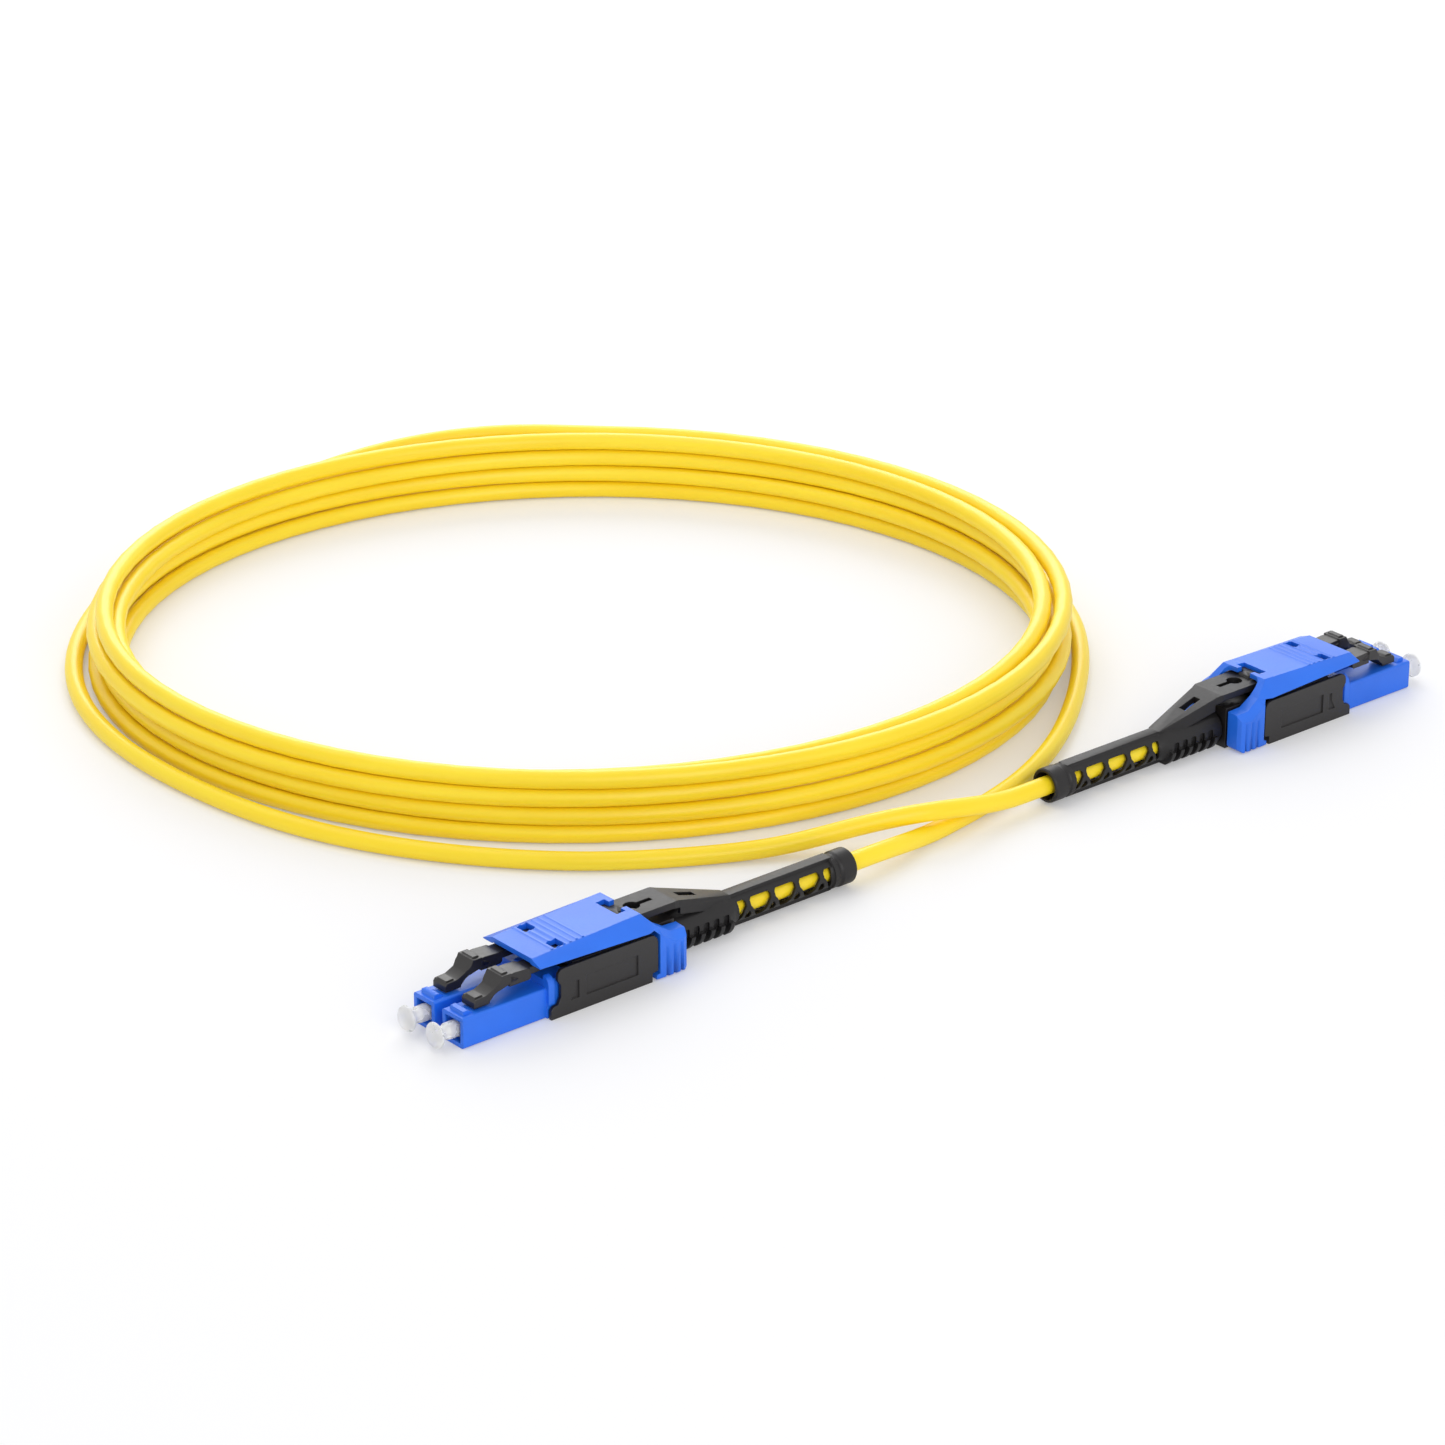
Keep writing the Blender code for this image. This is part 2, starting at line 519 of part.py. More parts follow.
def slide_cover():
    """Blue cover: ridged top plate with sloping skirts, shoulders that swoop down to the grip wings, open below."""
    skirt = SKIRT_WIDTH / 2
    chamfer = 0.1 * MM
    past = 1 * MM
    low, high = 2 * FLOOR_GAP, PLATE_TOP_REAR + past
    swoop, swoop_top = X_PLATE_REAR - 2.2 * MM, WING_CREST + 0.4 * (PLATE_TOP_REAR - WING_CREST)
    cover = lofted("slide_cover", [
        (X_BODY_REAR, mirrored([(WING_HALF, low - past), (WING_HALF, WING_TOP), (WING_HALF - 1.1 * MM, WING_CREST - 0.1 * MM),
                                (BAY_HALF, WING_CREST)])),
        (X_BODY_REAR + 2.4 * MM, mirrored([(WING_HALF, low - past), (WING_HALF, WING_TOP + 0.1 * MM),
                                           (WING_HALF - 1.1 * MM, WING_CREST), (BAY_HALF, WING_CREST + 0.1 * MM)])),
        (swoop, mirrored([(WING_HALF - 0.05 * MM, low - past), (WING_HALF - 0.05 * MM, SKIRT_REAR - 0.8 * MM),
                          (PLATE_HALF + 0.8 * MM, swoop_top - 0.1 * MM), (BAY_HALF, swoop_top)])),
        (X_PLATE_REAR, mirrored([(skirt + chamfer, low - past), (skirt + chamfer, SKIRT_REAR + chamfer), (PLATE_HALF, PLATE_TOP_REAR - chamfer),
                                 (PLATE_HALF - chamfer, PLATE_TOP_REAR)])),
        (X_LIP, mirrored([(skirt, low - past), (skirt, SKIRT_FRONT + chamfer), (PLATE_HALF, PLATE_TOP - chamfer),
                          (PLATE_HALF - chamfer, PLATE_TOP)])),
    ])
    step = X_WING_FRONT + FOOT_STEP
    side = [(X_LIP + past, SKIRT_FRONT), (X_LIP + past, high), (X_BODY_REAR - past, high), (X_BODY_REAR - past, low + 1.5 * MM),
            (X_BODY_REAR + 0.6 * MM, low), (step, low),
            (step, low + 0.6 * MM), (X_WING_FRONT, low + 0.8 * MM), (X_WING_FRONT, SKIRT_REAR - 0.6 * MM), (step, SKIRT_REAR)]
    keep(cover, extruded("cover_side", "XZ", side, -WING_HALF - past, WING_HALF + past))
    r = 0.9 * MM
    rounded = [(X_LIP + past, WING_HALF + past), (X_BODY_REAR + 2 * r, WING_HALF + past), (X_BODY_REAR + 2 * r, WING_HALF)]
    rounded += arc((X_BODY_REAR + r, WING_HALF - r), r, 90, 180, 2)
    keep(cover, extruded("cover_plan", "XY", rounded + [(x, -y) for x, y in reversed(rounded)], -past, high))
    # low ridges across the plate behind the lip
    slope = COVER_RISE / (X_LIP - X_PLATE_REAR)
    first = X_LIP - RIDGE_START
    last = first - RIDGE_COUNT * RIDGE_PITCH

    def plate(x):
        return PLATE_TOP + slope * (X_LIP - x)

    ridges = [(first, plate(first) - 0.3 * MM)]
    for i in range(RIDGE_COUNT):
        x = first - i * RIDGE_PITCH
        ridges += [(x, plate(x) - 0.02 * MM), (x - 0.2 * MM, plate(x) + RIDGE_HEIGHT), (x - 0.45 * MM, plate(x) + RIDGE_HEIGHT),
                   (x - 0.65 * MM, plate(x) - 0.02 * MM)]
    ridges += [(last, plate(last) - 0.02 * MM), (last, plate(last) - 0.3 * MM)]
    across = PLATE_HALF - 2 * chamfer
    join(cover, extruded("cover_ridges", "XZ", ridges, -across, across))
    # the hollow under the plate, a wall's thickness inside
    rear = X_WING_FRONT + 0.4 * MM
    crest = swoop_top + (PLATE_TOP_REAR - swoop_top) * (rear - swoop) / (X_PLATE_REAR - swoop) - COVER_WALL
    deep = skirt - 1.1 * COVER_WALL
    edge = PLATE_HALF - 0.35 * COVER_WALL
    front_past = X_LIP + past
    roof = plate(front_past) - COVER_WALL
    cut(cover, lofted("cover_hollow", [
        (rear, mirrored([(deep, -past), (deep, SKIRT_REAR - 0.1 * MM), (edge, crest - 0.1 * MM), (edge - 0.2 * MM, crest)])),
        (X_PLATE_REAR, mirrored([(deep, -past), (deep, SKIRT_REAR - 0.1 * MM), (edge, PLATE_TOP_REAR - COVER_WALL - 0.1 * MM),
                                 (edge - 0.2 * MM, PLATE_TOP_REAR - COVER_WALL)])),
        (front_past, mirrored([(deep, -past), (deep, SKIRT_FRONT - 0.35 * MM), (edge, roof - 0.1 * MM), (edge - 0.2 * MM, roof)])),
    ]))
    # the bay between the wings, with round corners, and the T-slot that takes the boot's lug
    r = 1.2 * MM
    outline = [(X_BODY_REAR - past, BAY_HALF)] + arc((X_PLATE_REAR - r, BAY_HALF - r), r, 90, 0, 3)
    outline += arc((X_PLATE_REAR - r, r - BAY_HALF), r, 0, -90, 3) + [(X_BODY_REAR - past, -BAY_HALF)]
    cut(cover, extruded("cover_bay", "XY", outline, -past, high))
    neck, head = SLOT_NECK_WIDTH / 2, SLOT_HEAD_WIDTH / 2
    slot_rear = X_PLATE_REAR + SLOT_NECK_LENGTH
    slot = [(X_PLATE_REAR - past, neck), (slot_rear, neck), (slot_rear, head), (slot_rear + SLOT_HEAD_LENGTH, head)]
    slot += [(x, -y) for x, y in reversed(slot)]
    cut(cover, extruded("cover_slot", "XY", slot, SKIRT_REAR, high))
    for sign, name in ((1, "left"), (-1, "right")):
        y = sign * NOSE_CENTRE
        cut(cover, block(f"cover_window_{name}", (WINDOW_REAR, y - WINDOW_WIDTH / 2, SKIRT_REAR - past),
                         (WINDOW_REAR + WINDOW_LENGTH, y + WINDOW_WIDTH / 2, high)))
        pitch = WING_LENGTH / (GRIP_COUNT + 1)
        half = GRIP_WIDTH / 2
        for i in range(GRIP_COUNT):
            x = X_BODY_REAR + (i + 1) * pitch
            face = sign * WING_HALF
            groove = [(x - 2 * half, face + sign * GRIP_DEPTH), (x, face - sign * GRIP_DEPTH), (x + 2 * half, face + sign * GRIP_DEPTH)]
            cut(cover, extruded(f"grip_{name}_{i}", "XY", groove, -past, WING_TOP - 0.3 * MM))
    return cover


def latch():
    """Black latch: foot on the nose, rise, cross shoulder with gussets, arm, and the nub in the cover's window."""
    front = X_NOSE - FOOT_SETBACK
    foot_top = HINGE_Z + 1.2 * MM
    shoulder_top = ARM_TOP + SHOULDER_RISE
    rise = front - FOOT_LENGTH
    shoulder_front = rise - 2.5 * MM
    shoulder_rear = shoulder_front - SHOULDER_LENGTH
    arm_low = ARM_TOP - ARM_THICKNESS
    nub_rear = WINDOW_REAR + RUN_GAP
    nub_top = PLATE_TOP - COVER_WALL + NUB_RISE
    side = [(front, HINGE_Z), (front, foot_top - 0.35 * MM), (front - 0.3 * MM, foot_top), (rise, foot_top + 0.1 * MM),
            (rise - 1.3 * MM, foot_top + 0.7 * MM), (shoulder_front + 0.3 * MM, shoulder_top - 0.6 * MM), (shoulder_front, shoulder_top),
            (shoulder_rear, shoulder_top), (shoulder_rear - 0.25 * MM, ARM_TOP - 0.05 * MM), (nub_rear + NUB_LENGTH + 0.8 * MM, ARM_TOP),
            (nub_rear + NUB_LENGTH, nub_top), (nub_rear, nub_top), (nub_rear, arm_low), (shoulder_rear, arm_low),
            (rise - 1.9 * MM, arm_low - 0.5 * MM), (rise - 0.6 * MM, HINGE_Z + 0.3 * MM), (rise - 0.6 * MM, HINGE_Z)]
    arm, shoulder, foot = ARM_WIDTH / 2, SHOULDER_WIDTH / 2, FOOT_WIDTH / 2
    back = shoulder_rear - 0.02 * MM
    plan = [(nub_rear, 0.7 * arm), (nub_rear + 1.4 * MM, 0.7 * arm), (nub_rear + 2.0 * MM, arm), (back, arm),
            (back, shoulder), (shoulder_front + 0.5 * MM, shoulder), (rise - 1.4 * MM, foot), (front, foot)]
    plan += [(x, -y) for x, y in reversed(plan)]
    piece = extruded("latch", "XZ", side, -shoulder, shoulder)
    keep(piece, extruded("latch_plan", "XY", plan, 0, PLATE_TOP_REAR))
    gusset = [(back + 0.3 * MM, arm_low + 0.1 * MM), (back + 0.3 * MM, ARM_TOP - 0.3 * MM), (back - 0.5 * MM, ARM_TOP - 0.35 * MM),
              (back - 1.3 * MM, arm_low + 0.25 * MM), (back - 1.0 * MM, arm_low + 0.1 * MM)]
    return join(piece, extruded("latch_gusset", "XZ", gusset, -0.95 * shoulder, 0.95 * shoulder))


def spring_retainer():
    """Black plate behind the front housing, with a hollow boss behind each spring."""
    half = CHANNEL_HALF - SEAT_GAP
    low, high = BODY_FLOOR + SEAT_GAP, BODY_DECK - SEAT_GAP
    plate = block("spring_retainer", (X_RETAINER_REAR, -half, low), (X_RETAINER_FRONT, half, high))
    fibre_hole = FIBRE_RADIUS + SEAT_GAP
    for side, name in ((1, "left"), (-1, "right")):
        y = side * NOSE_CENTRE
        boss = bar(X_RETAINER_FRONT - 0.2 * MM, X_RETAINER_FRONT + BOSS_LENGTH + SEAT_GAP, SPRING_BORE - SEAT_GAP)
        join(plate, turned(f"boss_{name}", boss, y, FERRULE_Z, 20))
        past = 1 * MM
        way = bar(X_RETAINER_REAR - past, X_RETAINER_FRONT + BOSS_LENGTH + past, fibre_hole)
        cut(plate, turned(f"fibre_way_{name}", way, y, FERRULE_Z, 12))
    return plate


def ferrule():
    """Ceramic ferrule with a chamfered tip."""
    tip = X_NOSE + FERRULE_PROUD
    rear = tip - FERRULE_LENGTH
    chamfer = 0.2 * MM
    profile = [(tip, 0), (tip, FERRULE_RADIUS - chamfer), (tip - chamfer, FERRULE_RADIUS), (rear, FERRULE_RADIUS), (rear, 0)]
    return turned("ferrule", profile, 0, FERRULE_Z, 20)


def ferrule_holder():
    """Flanged holder behind the stop, with a socket for the ferrule and a hollow tail inside the spring."""
    front = X_STOP_REAR - SEAT_GAP
    socket_end = X_NOSE + FERRULE_PROUD - FERRULE_LENGTH - SEAT_GAP
    flange_rear = front - HOLDER_FLANGE_LENGTH
    tail_rear = flange_rear - HOLDER_TAIL_LENGTH
    socket = FERRULE_RADIUS + SEAT_GAP
    bore = FIBRE_RADIUS + SEAT_GAP
    tail = bore + HOLDER_WALL
    bevel = 0.3 * MM
    profile = [(front, HOLDER_FLANGE_RADIUS - bevel), (front - bevel, HOLDER_FLANGE_RADIUS), (flange_rear, HOLDER_FLANGE_RADIUS),
               (flange_rear, tail), (tail_rear, tail), (tail_rear, bore), (socket_end, bore),
               (socket_end, socket), (front, socket)]
    return turned("ferrule_holder", profile, 0, FERRULE_Z, 20)


def spring():
    """Coil spring between the holder's flange and the retainer's boss."""
    start = X_STOP_REAR - 2 * SEAT_GAP - HOLDER_FLANGE_LENGTH - SPRING_WIRE / 2
    end = X_RETAINER_FRONT + BOSS_LENGTH + 2 * SEAT_GAP + SPRING_WIRE / 2
    radius = SPRING_BORE - SEAT_GAP - SPRING_WIRE / 2 + 0.02 * MM
    per_turn = 8
    path = []
    for i in range(SPRING_TURNS * per_turn + 1):
        angle = math.tau * i / per_turn
        x = start + (end - start) * i / (SPRING_TURNS * per_turn)
        path.append((x, radius * math.cos(angle), FERRULE_Z + radius * math.sin(angle)))
    return as_mesh(workshop_object("spring", tube_curve("spring", path, SPRING_WIRE / 2, 0)))


def fibre(side):
    """Buffered fibre from the ferrule through the retainer to the crimp, in a smooth S."""
    front = X_NOSE + FERRULE_PROUD - FERRULE_LENGTH - 2 * SEAT_GAP
    straight = X_RETAINER_REAR - 1.5 * MM
    joined = X_ROOM_REAR + CRIMP_FLANGE_THICKNESS + 1.0 * MM
    rear = X_BODY_REAR + FERRULE_TRAVEL
    path = [(front, side * NOSE_CENTRE, FERRULE_Z)]
    steps = 10
    for i in range(steps + 1):
        t = i / steps
        ease = t * t * (3 - 2 * t)
        y = NOSE_CENTRE + (FIBRE_PITCH_IN_CRIMP / 2 - NOSE_CENTRE) * ease
        path.append((straight + (joined - straight) * t, side * y, FERRULE_Z + (CORD_Z - FERRULE_Z) * ease))
    path.append((rear, side * FIBRE_PITCH_IN_CRIMP / 2, CORD_Z))
    return as_mesh(workshop_object("fibre", tube_curve("fibre", path, FIBRE_RADIUS, 1)))


def crimp_body():
    """Metal crimp body: flange inside the fibre room, barrel through the rear wall, stem that faces the cord."""
    front = X_ROOM_REAR + SEAT_GAP + CRIMP_FLANGE_THICKNESS
    flange = min(CORD_Z - BODY_FLOOR - 0.25 * MM, CRIMP_BARREL + 0.55 * MM)
    barrel_rear = X_BODY_REAR - 0.2 * MM
    profile = [(front, flange), (front - CRIMP_FLANGE_THICKNESS, flange), (front - CRIMP_FLANGE_THICKNESS, CRIMP_BARREL),
               (barrel_rear, CRIMP_BARREL), (barrel_rear, CRIMP_STEM), (X_CRIMP_REAR, CRIMP_STEM),
               (X_CRIMP_REAR, CRIMP_BORE), (front, CRIMP_BORE)]
    return turned("crimp_body", profile, 0, CORD_Z, 20)


def crimp_ring():
    """Metal ring crimped half over the stem and half over the cord's jacket."""
    front = X_BODY_REAR - 0.2 * MM - SEAT_GAP
    return turned("crimp_ring", bar(X_RING_REAR, front, RING_OUTER, RING_INNER), 0, CORD_Z, 20)


def boot():
    """Black push-pull boot: collar, lattice tail, grooved neck, side webs, strap with its window, and the tongue."""
    z = CORD_Z
    flare = TAIL_BORE + 0.4 * MM
    groove = COLLAR_RADIUS - 0.25 * MM
    rim = 2.4 * MM
    wide_bore = X_RING_REAR - RUN_GAP
    shell = [(X_BOOT_FRONT, NECK_RADIUS), (X_NECK + 1.6 * MM, NECK_RADIUS), (X_NECK, TAIL_RADIUS),
             (X_LATTICE, TAIL_RADIUS), (X_LATTICE, COLLAR_RADIUS - 0.1 * MM), (rim + 0.9 * MM, COLLAR_RADIUS - 0.1 * MM),
             (rim + 0.7 * MM, groove), (rim + 0.2 * MM, groove), (rim, COLLAR_RADIUS), (0.25 * MM, COLLAR_RADIUS),
             (0, COLLAR_RADIUS - 0.2 * MM), (0, flare), (1.3 * MM, TAIL_BORE), (wide_bore - 0.5 * MM, TAIL_BORE),
             (wide_bore, NECK_BORE), (X_BOOT_FRONT, NECK_BORE)]
    piece = turned("boot", shell, 0, z, 24)
    # spines along the top and the bottom of the tail
    inside = TAIL_RADIUS - 0.25 * MM
    outside = TAIL_RADIUS + SPINE_HEIGHT
    half = SPINE_WIDTH / 2
    for name, low, high in (("top", z + inside, z + outside), ("bottom", z - outside, z - inside)):
        join(piece, block(f"spine_{name}", (rim + 1.2 * MM, -half, low), (X_NECK + 1.2 * MM, half, high)))
    # lattice: whole openings, half openings at the ends, and small drops between them
    pitch = LATTICE_LENGTH / (LATTICE_OPENINGS + 1)
    top, foot = z + 1.43 * MM, z - 1.67 * MM
    past = TAIL_RADIUS + 1 * MM
    edge = 0.45 * MM

    def flank(x, sign):
        """One curved side of an opening, from its top corner down to its foot."""
        wide, mid, low = 1.6 * MM, 0.95 * MM, 0.2 * MM
        return [(x + sign * (wide - 0.2 * MM), top), (x + sign * wide, top - 0.27 * MM), (x + sign * (wide - 0.15 * MM), top - 0.8 * MM),
                (x + sign * mid, z + 0.05 * MM), (x + sign * low, foot)]

    for i in range(LATTICE_OPENINGS):
        x = X_LATTICE + (i + 1) * pitch
        cut(piece, extruded(f"lattice_{i}", "XZ", flank(x, 1) + flank(x, -1)[::-1], -past, past))
    rear, front = X_LATTICE + edge, X_NECK - edge
    cut(piece, extruded("lattice_rear", "XZ", flank(X_LATTICE, 1)[:-1] + [(rear, foot + 0.6 * MM), (rear, top)], -past, past))
    cut(piece, extruded("lattice_front", "XZ", flank(X_NECK, -1)[:-1] + [(front, foot + 0.6 * MM), (front, top)], -past, past))
    for i in range(LATTICE_OPENINGS + 1):
        x = X_LATTICE + (i + 0.5) * pitch
        low = foot + 0.25 * MM
        drop = [(x - 0.3 * MM, low), (x + 0.1 * MM, low), (x + 0.35 * MM, low + 0.6 * MM), (x + 0.2 * MM, low + 1.1 * MM), (x - 0.15 * MM, low + 0.7 * MM)]
        cut(piece, extruded(f"lattice_drop_{i}", "XZ", drop, -past, past))
    # grooves round the lower half of the neck
    groove_width = 0.75 * MM
    room = NECK_LENGTH - 3.0 * MM
    for i in range(NECK_GROOVES):
        x = X_NECK + 2.0 * MM + i * room / NECK_GROOVES
        outline = arc((0, z), NECK_RADIUS + 0.5 * MM, -195, 15, 10) + arc((0, z), NECK_RADIUS - 0.38 * MM, 15, -195, 10)
        cut(piece, extruded(f"neck_groove_{i}", "YZ", outline, x, x + groove_width))
    # strap, tongue and side webs: one side outline kept inside its plan, then hollowed under the strap
    under = TONGUE_TOP - TONGUE_THICKNESS
    toe = X_NECK + 0.3 * MM
    tip = X_PLATE_REAR + SLOT_NECK_LENGTH + SLOT_HEAD_LENGTH + 0.3 * MM
    bend = (X_BEND + 0.2 * MM, TONGUE_TOP - STRAP_THICKNESS)
    web_front = X_BEND - 0.9 * MM
    strap_side = [(tip, TONGUE_TOP), (X_BEND, TONGUE_TOP), (toe, z + outside), (toe, z + inside), (toe + 4.2 * MM, z + 1.8 * MM),
                  (web_front, bend[1] - 1.3 * MM), (web_front, bend[1] - 0.3 * MM), bend, (X_BEND + 0.8 * MM, under), (tip, under)]
    broad, narrow = TONGUE_WIDTH / 2, SPINE_WIDTH / 2 + 0.1 * MM
    plan = [(tip + 1 * MM, broad), (X_BEND + 0.3 * MM, broad), (X_BEND - 0.7 * MM, broad - 0.3 * MM), (toe - 1 * MM, narrow)]
    plan += [(x, -y) for x, y in reversed(plan)]
    strap = extruded("strap", "XZ", strap_side, -broad, broad)
    keep(strap, extruded("strap_plan", "XY", plan, 0, TONGUE_TOP + 1 * MM))
    core_plan = [(x, y - math.copysign(WEB_WALL, y)) for x, y in plan]
    core_side = [(toe + 1.6 * MM, z + NECK_RADIUS - 0.35 * MM), bend, (bend[0], z), (toe + 1.6 * MM, z)]
    core = extruded("web_core", "XZ", core_side, -broad, broad)
    keep(core, extruded("web_core_plan", "XY", core_plan, 0, TONGUE_TOP + 1 * MM))
    join(piece, as_mesh(cut(strap, as_mesh(core))))
    # T-shaped lug that the cover's slot takes
    neck, head = SLOT_NECK_WIDTH / 2 - SEAT_GAP, SLOT_HEAD_WIDTH / 2 - SEAT_GAP
    lug_rear = X_PLATE_REAR + SLOT_NECK_LENGTH + SEAT_GAP
    lug = [(X_PLATE_REAR, neck), (lug_rear, neck), (lug_rear, head), (lug_rear + SLOT_HEAD_LENGTH - 2 * SEAT_GAP, head)]
    lug += [(x, -y) for x, y in reversed(lug)]
    join(piece, extruded("lug", "XY", lug, TONGUE_TOP - 0.2 * MM, PLATE_TOP_REAR - 0.6 * MM))
    # keyhole in the tongue and the window in the strap
    eye = (X_PLATE_REAR - 2.0 * MM, 0)
    slot = KEYHOLE_SLOT / 2
    angle = math.degrees(math.asin(slot / KEYHOLE_RADIUS))
    slot_end = X_BEND + 2.2 * MM
    keyhole = arc(eye, KEYHOLE_RADIUS, -180 + angle, 180 - angle, 12) + [(slot_end, slot), (slot_end, -slot)]
    cut(piece, extruded("keyhole", "XY", keyhole, under - 0.5 * MM, TONGUE_TOP + 1 * MM))
    window_front = X_BEND - 2.2 * MM
    cut(piece, block("strap_window", (window_front - STRAP_WINDOW_LENGTH, -STRAP_WINDOW_WIDTH / 2, z + NECK_RADIUS + 0.15 * MM),
                     (window_front, STRAP_WINDOW_WIDTH / 2, TONGUE_TOP)))
    return piece


def dust_cap():
    """Clear cap: a domed disc in front of the nose, a narrow neck, and a hollow stem over the ferrule."""
    front = X_NOSE + CAP_STANDOFF
    disc_rear = front - CAP_DISC_THICKNESS
    disc, stem, neck = CAP_DISC_DIAMETER / 2, CAP_STEM_DIAMETER / 2, CAP_NECK_DIAMETER / 2
    rear = X_NOSE - CAP_STEM_INSIDE
    bore = FERRULE_RADIUS + SEAT_GAP
    bore_end = X_NOSE + FERRULE_PROUD + RUN_GAP
    profile = [(front, 0), (front - 0.05 * MM, 0.55 * disc), (front - 0.3 * MM, 0.9 * disc), (front - 0.65 * MM, disc),
               (front - 0.95 * MM, 0.9 * disc), (disc_rear, neck + 0.25 * MM), (disc_rear - 0.25 * MM, neck),
               (disc_rear - 0.5 * MM, neck), (disc_rear - 1.1 * MM, stem), (rear + 0.2 * MM, stem), (rear, stem - 0.1 * MM),
               (rear, bore), (bore_end, bore), (bore_end, 0)]
    return turned("dust_cap", profile, 0, FERRULE_Z, 24)


# ---------------------------------------------------------------- placing the connectors
def guide(name, parent, place, yaw=0.0):
    """An empty that carries pieces: a connector's frame, or a moving piece's joint."""
    item = bpy.data.objects.new(name, None)
    PARTS.objects.link(item)
    item.empty_display_size = 3 * MM
    item.parent = parent
    item.location = place
    item.rotation_euler = (0, 0, yaw)
    return item


def place_piece(name, mesh, finish, parent, offset=(0, 0, 0)):
    """One piece of a connector, which shares its mesh with its twin on the other connector."""
    item = bpy.data.objects.new(name, mesh)
    PARTS.objects.link(item)
    item.parent = parent
    item.location = offset
    if not mesh.materials:
        mesh.materials.append(finish_material(finish))
    return item


def smooth_shaded(piece):
    """The piece's finished mesh, shaded smooth where it is round."""
    mesh = evaluated_mesh(piece)
    mesh.shade_smooth()
    mesh.set_sharp_from_angle(angle=math.radians(35))
    piece.hide_viewport = True
    return mesh


def build_connectors():
    """Both connectors, from one set of meshes."""
    fixed = {
        "front_housing": (smooth_shaded(front_housing()), "blue_plastic"),
        "back_body": (smooth_shaded(back_body()), "black_plastic"),
        "body_lid": (smooth_shaded(body_lid()), "black_plastic"),
        "spring_retainer": (smooth_shaded(spring_retainer()), "black_plastic"),
        "crimp_body": (smooth_shaded(crimp_body()), "nickel"),
        "crimp_ring": (smooth_shaded(crimp_ring()), "nickel"),
    }
    sliding = {
        "slide_cover": (smooth_shaded(slide_cover()), "blue_plastic"),
        "boot": (smooth_shaded(boot()), "black_plastic"),
    }
    latch_mesh = smooth_shaded(latch())
    cap_mesh = smooth_shaded(dust_cap())
    ferrule_mesh = smooth_shaded(ferrule())
    holder_mesh = smooth_shaded(ferrule_holder())
    spring_mesh = smooth_shaded(spring())
    for tag, turn, sign in (("a", math.pi, -1), ("b", 0.0, 1)):
        frame = guide(f"connector_{tag}", None, (sign * MOUTH[0], sign * MOUTH[1], 0), CONNECTOR_YAW + turn)
        release = guide(f"release_axis_{tag}", frame, (0, 0, CORD_Z))
        for name, (mesh, finish) in fixed.items():
            place_piece(f"{name}_{tag}", mesh, finish, frame)
        for name, (mesh, finish) in sliding.items():
            place_piece(f"{name}_{tag}", mesh, finish, release, (0, 0, -CORD_Z))
        for side, y in (("left", NOSE_CENTRE), ("right", -NOSE_CENTRE)):
            hinge = guide(f"latch_hinge_{side}_{tag}", frame, (HINGE_X, y, HINGE_Z))
            place_piece(f"latch_{side}_{tag}", latch_mesh, "black_plastic", hinge, (-HINGE_X, 0, -HINGE_Z))
            axis = guide(f"ferrule_axis_{side}_{tag}", frame, (X_NOSE, y, FERRULE_Z))
            back = (-X_NOSE, 0, -FERRULE_Z)
            place_piece(f"cap_{side}_{tag}", cap_mesh, "clear_cap", axis, back)
            place_piece(f"ferrule_{side}_{tag}", ferrule_mesh, "zirconia", axis, back)
            place_piece(f"ferrule_holder_{side}_{tag}", holder_mesh, "nickel", axis, back)
            place_piece(f"spring_{side}_{tag}", spring_mesh, "spring_steel", axis, back)
    for side, y in (("left", 1), ("right", -1)):
        mesh = smooth_shaded(fibre(y))
        for tag in ("a", "b"):
            frame = bpy.data.objects[f"connector_{tag}"]
            place_piece(f"fibre_{side}_{tag}", mesh, "buffer_white", frame)


# ---------------------------------------------------------------- the cord
def ease(t):
    t = np.clip(t, 0, 1)
    return t * t * (3 - 2 * t)


def coil_path():
    """Six turns in four layers. The radius spirals in over one layer and out over the next at a steady
    rate, and the cord climbs a layer in the half turn about each reversal."""
    turns_per_layer = COIL_TURNS / COIL_LAYERS
    pitch = CORD_DIAMETER + CORD_TURN_GAP
    turn = np.arange(COIL_TURNS * COIL_POINTS_PER_TURN + 1) / COIL_POINTS_PER_TURN
    layer = np.minimum((turn / turns_per_layer).astype(int), COIL_LAYERS - 1)
    along = turn - layer * turns_per_layer
    inward = np.where(layer % 2 == 0, along, turns_per_layer - along) * pitch
    climbs = sum(ease((turn - k * turns_per_layer) / 0.5 + 0.5) for k in range(1, COIL_LAYERS))
    angle = COIL_START + math.tau * turn
    x = COIL_CENTRE[0] + (COIL_HALF_WIDTH - inward) * np.cos(angle)
    y = COIL_CENTRE[1] + (COIL_HALF_DEPTH - inward) * np.sin(angle)
    return np.stack([x, y, CORD_RADIUS + climbs * pitch], axis=1)


def unit(vector):
    return vector / np.linalg.norm(vector)


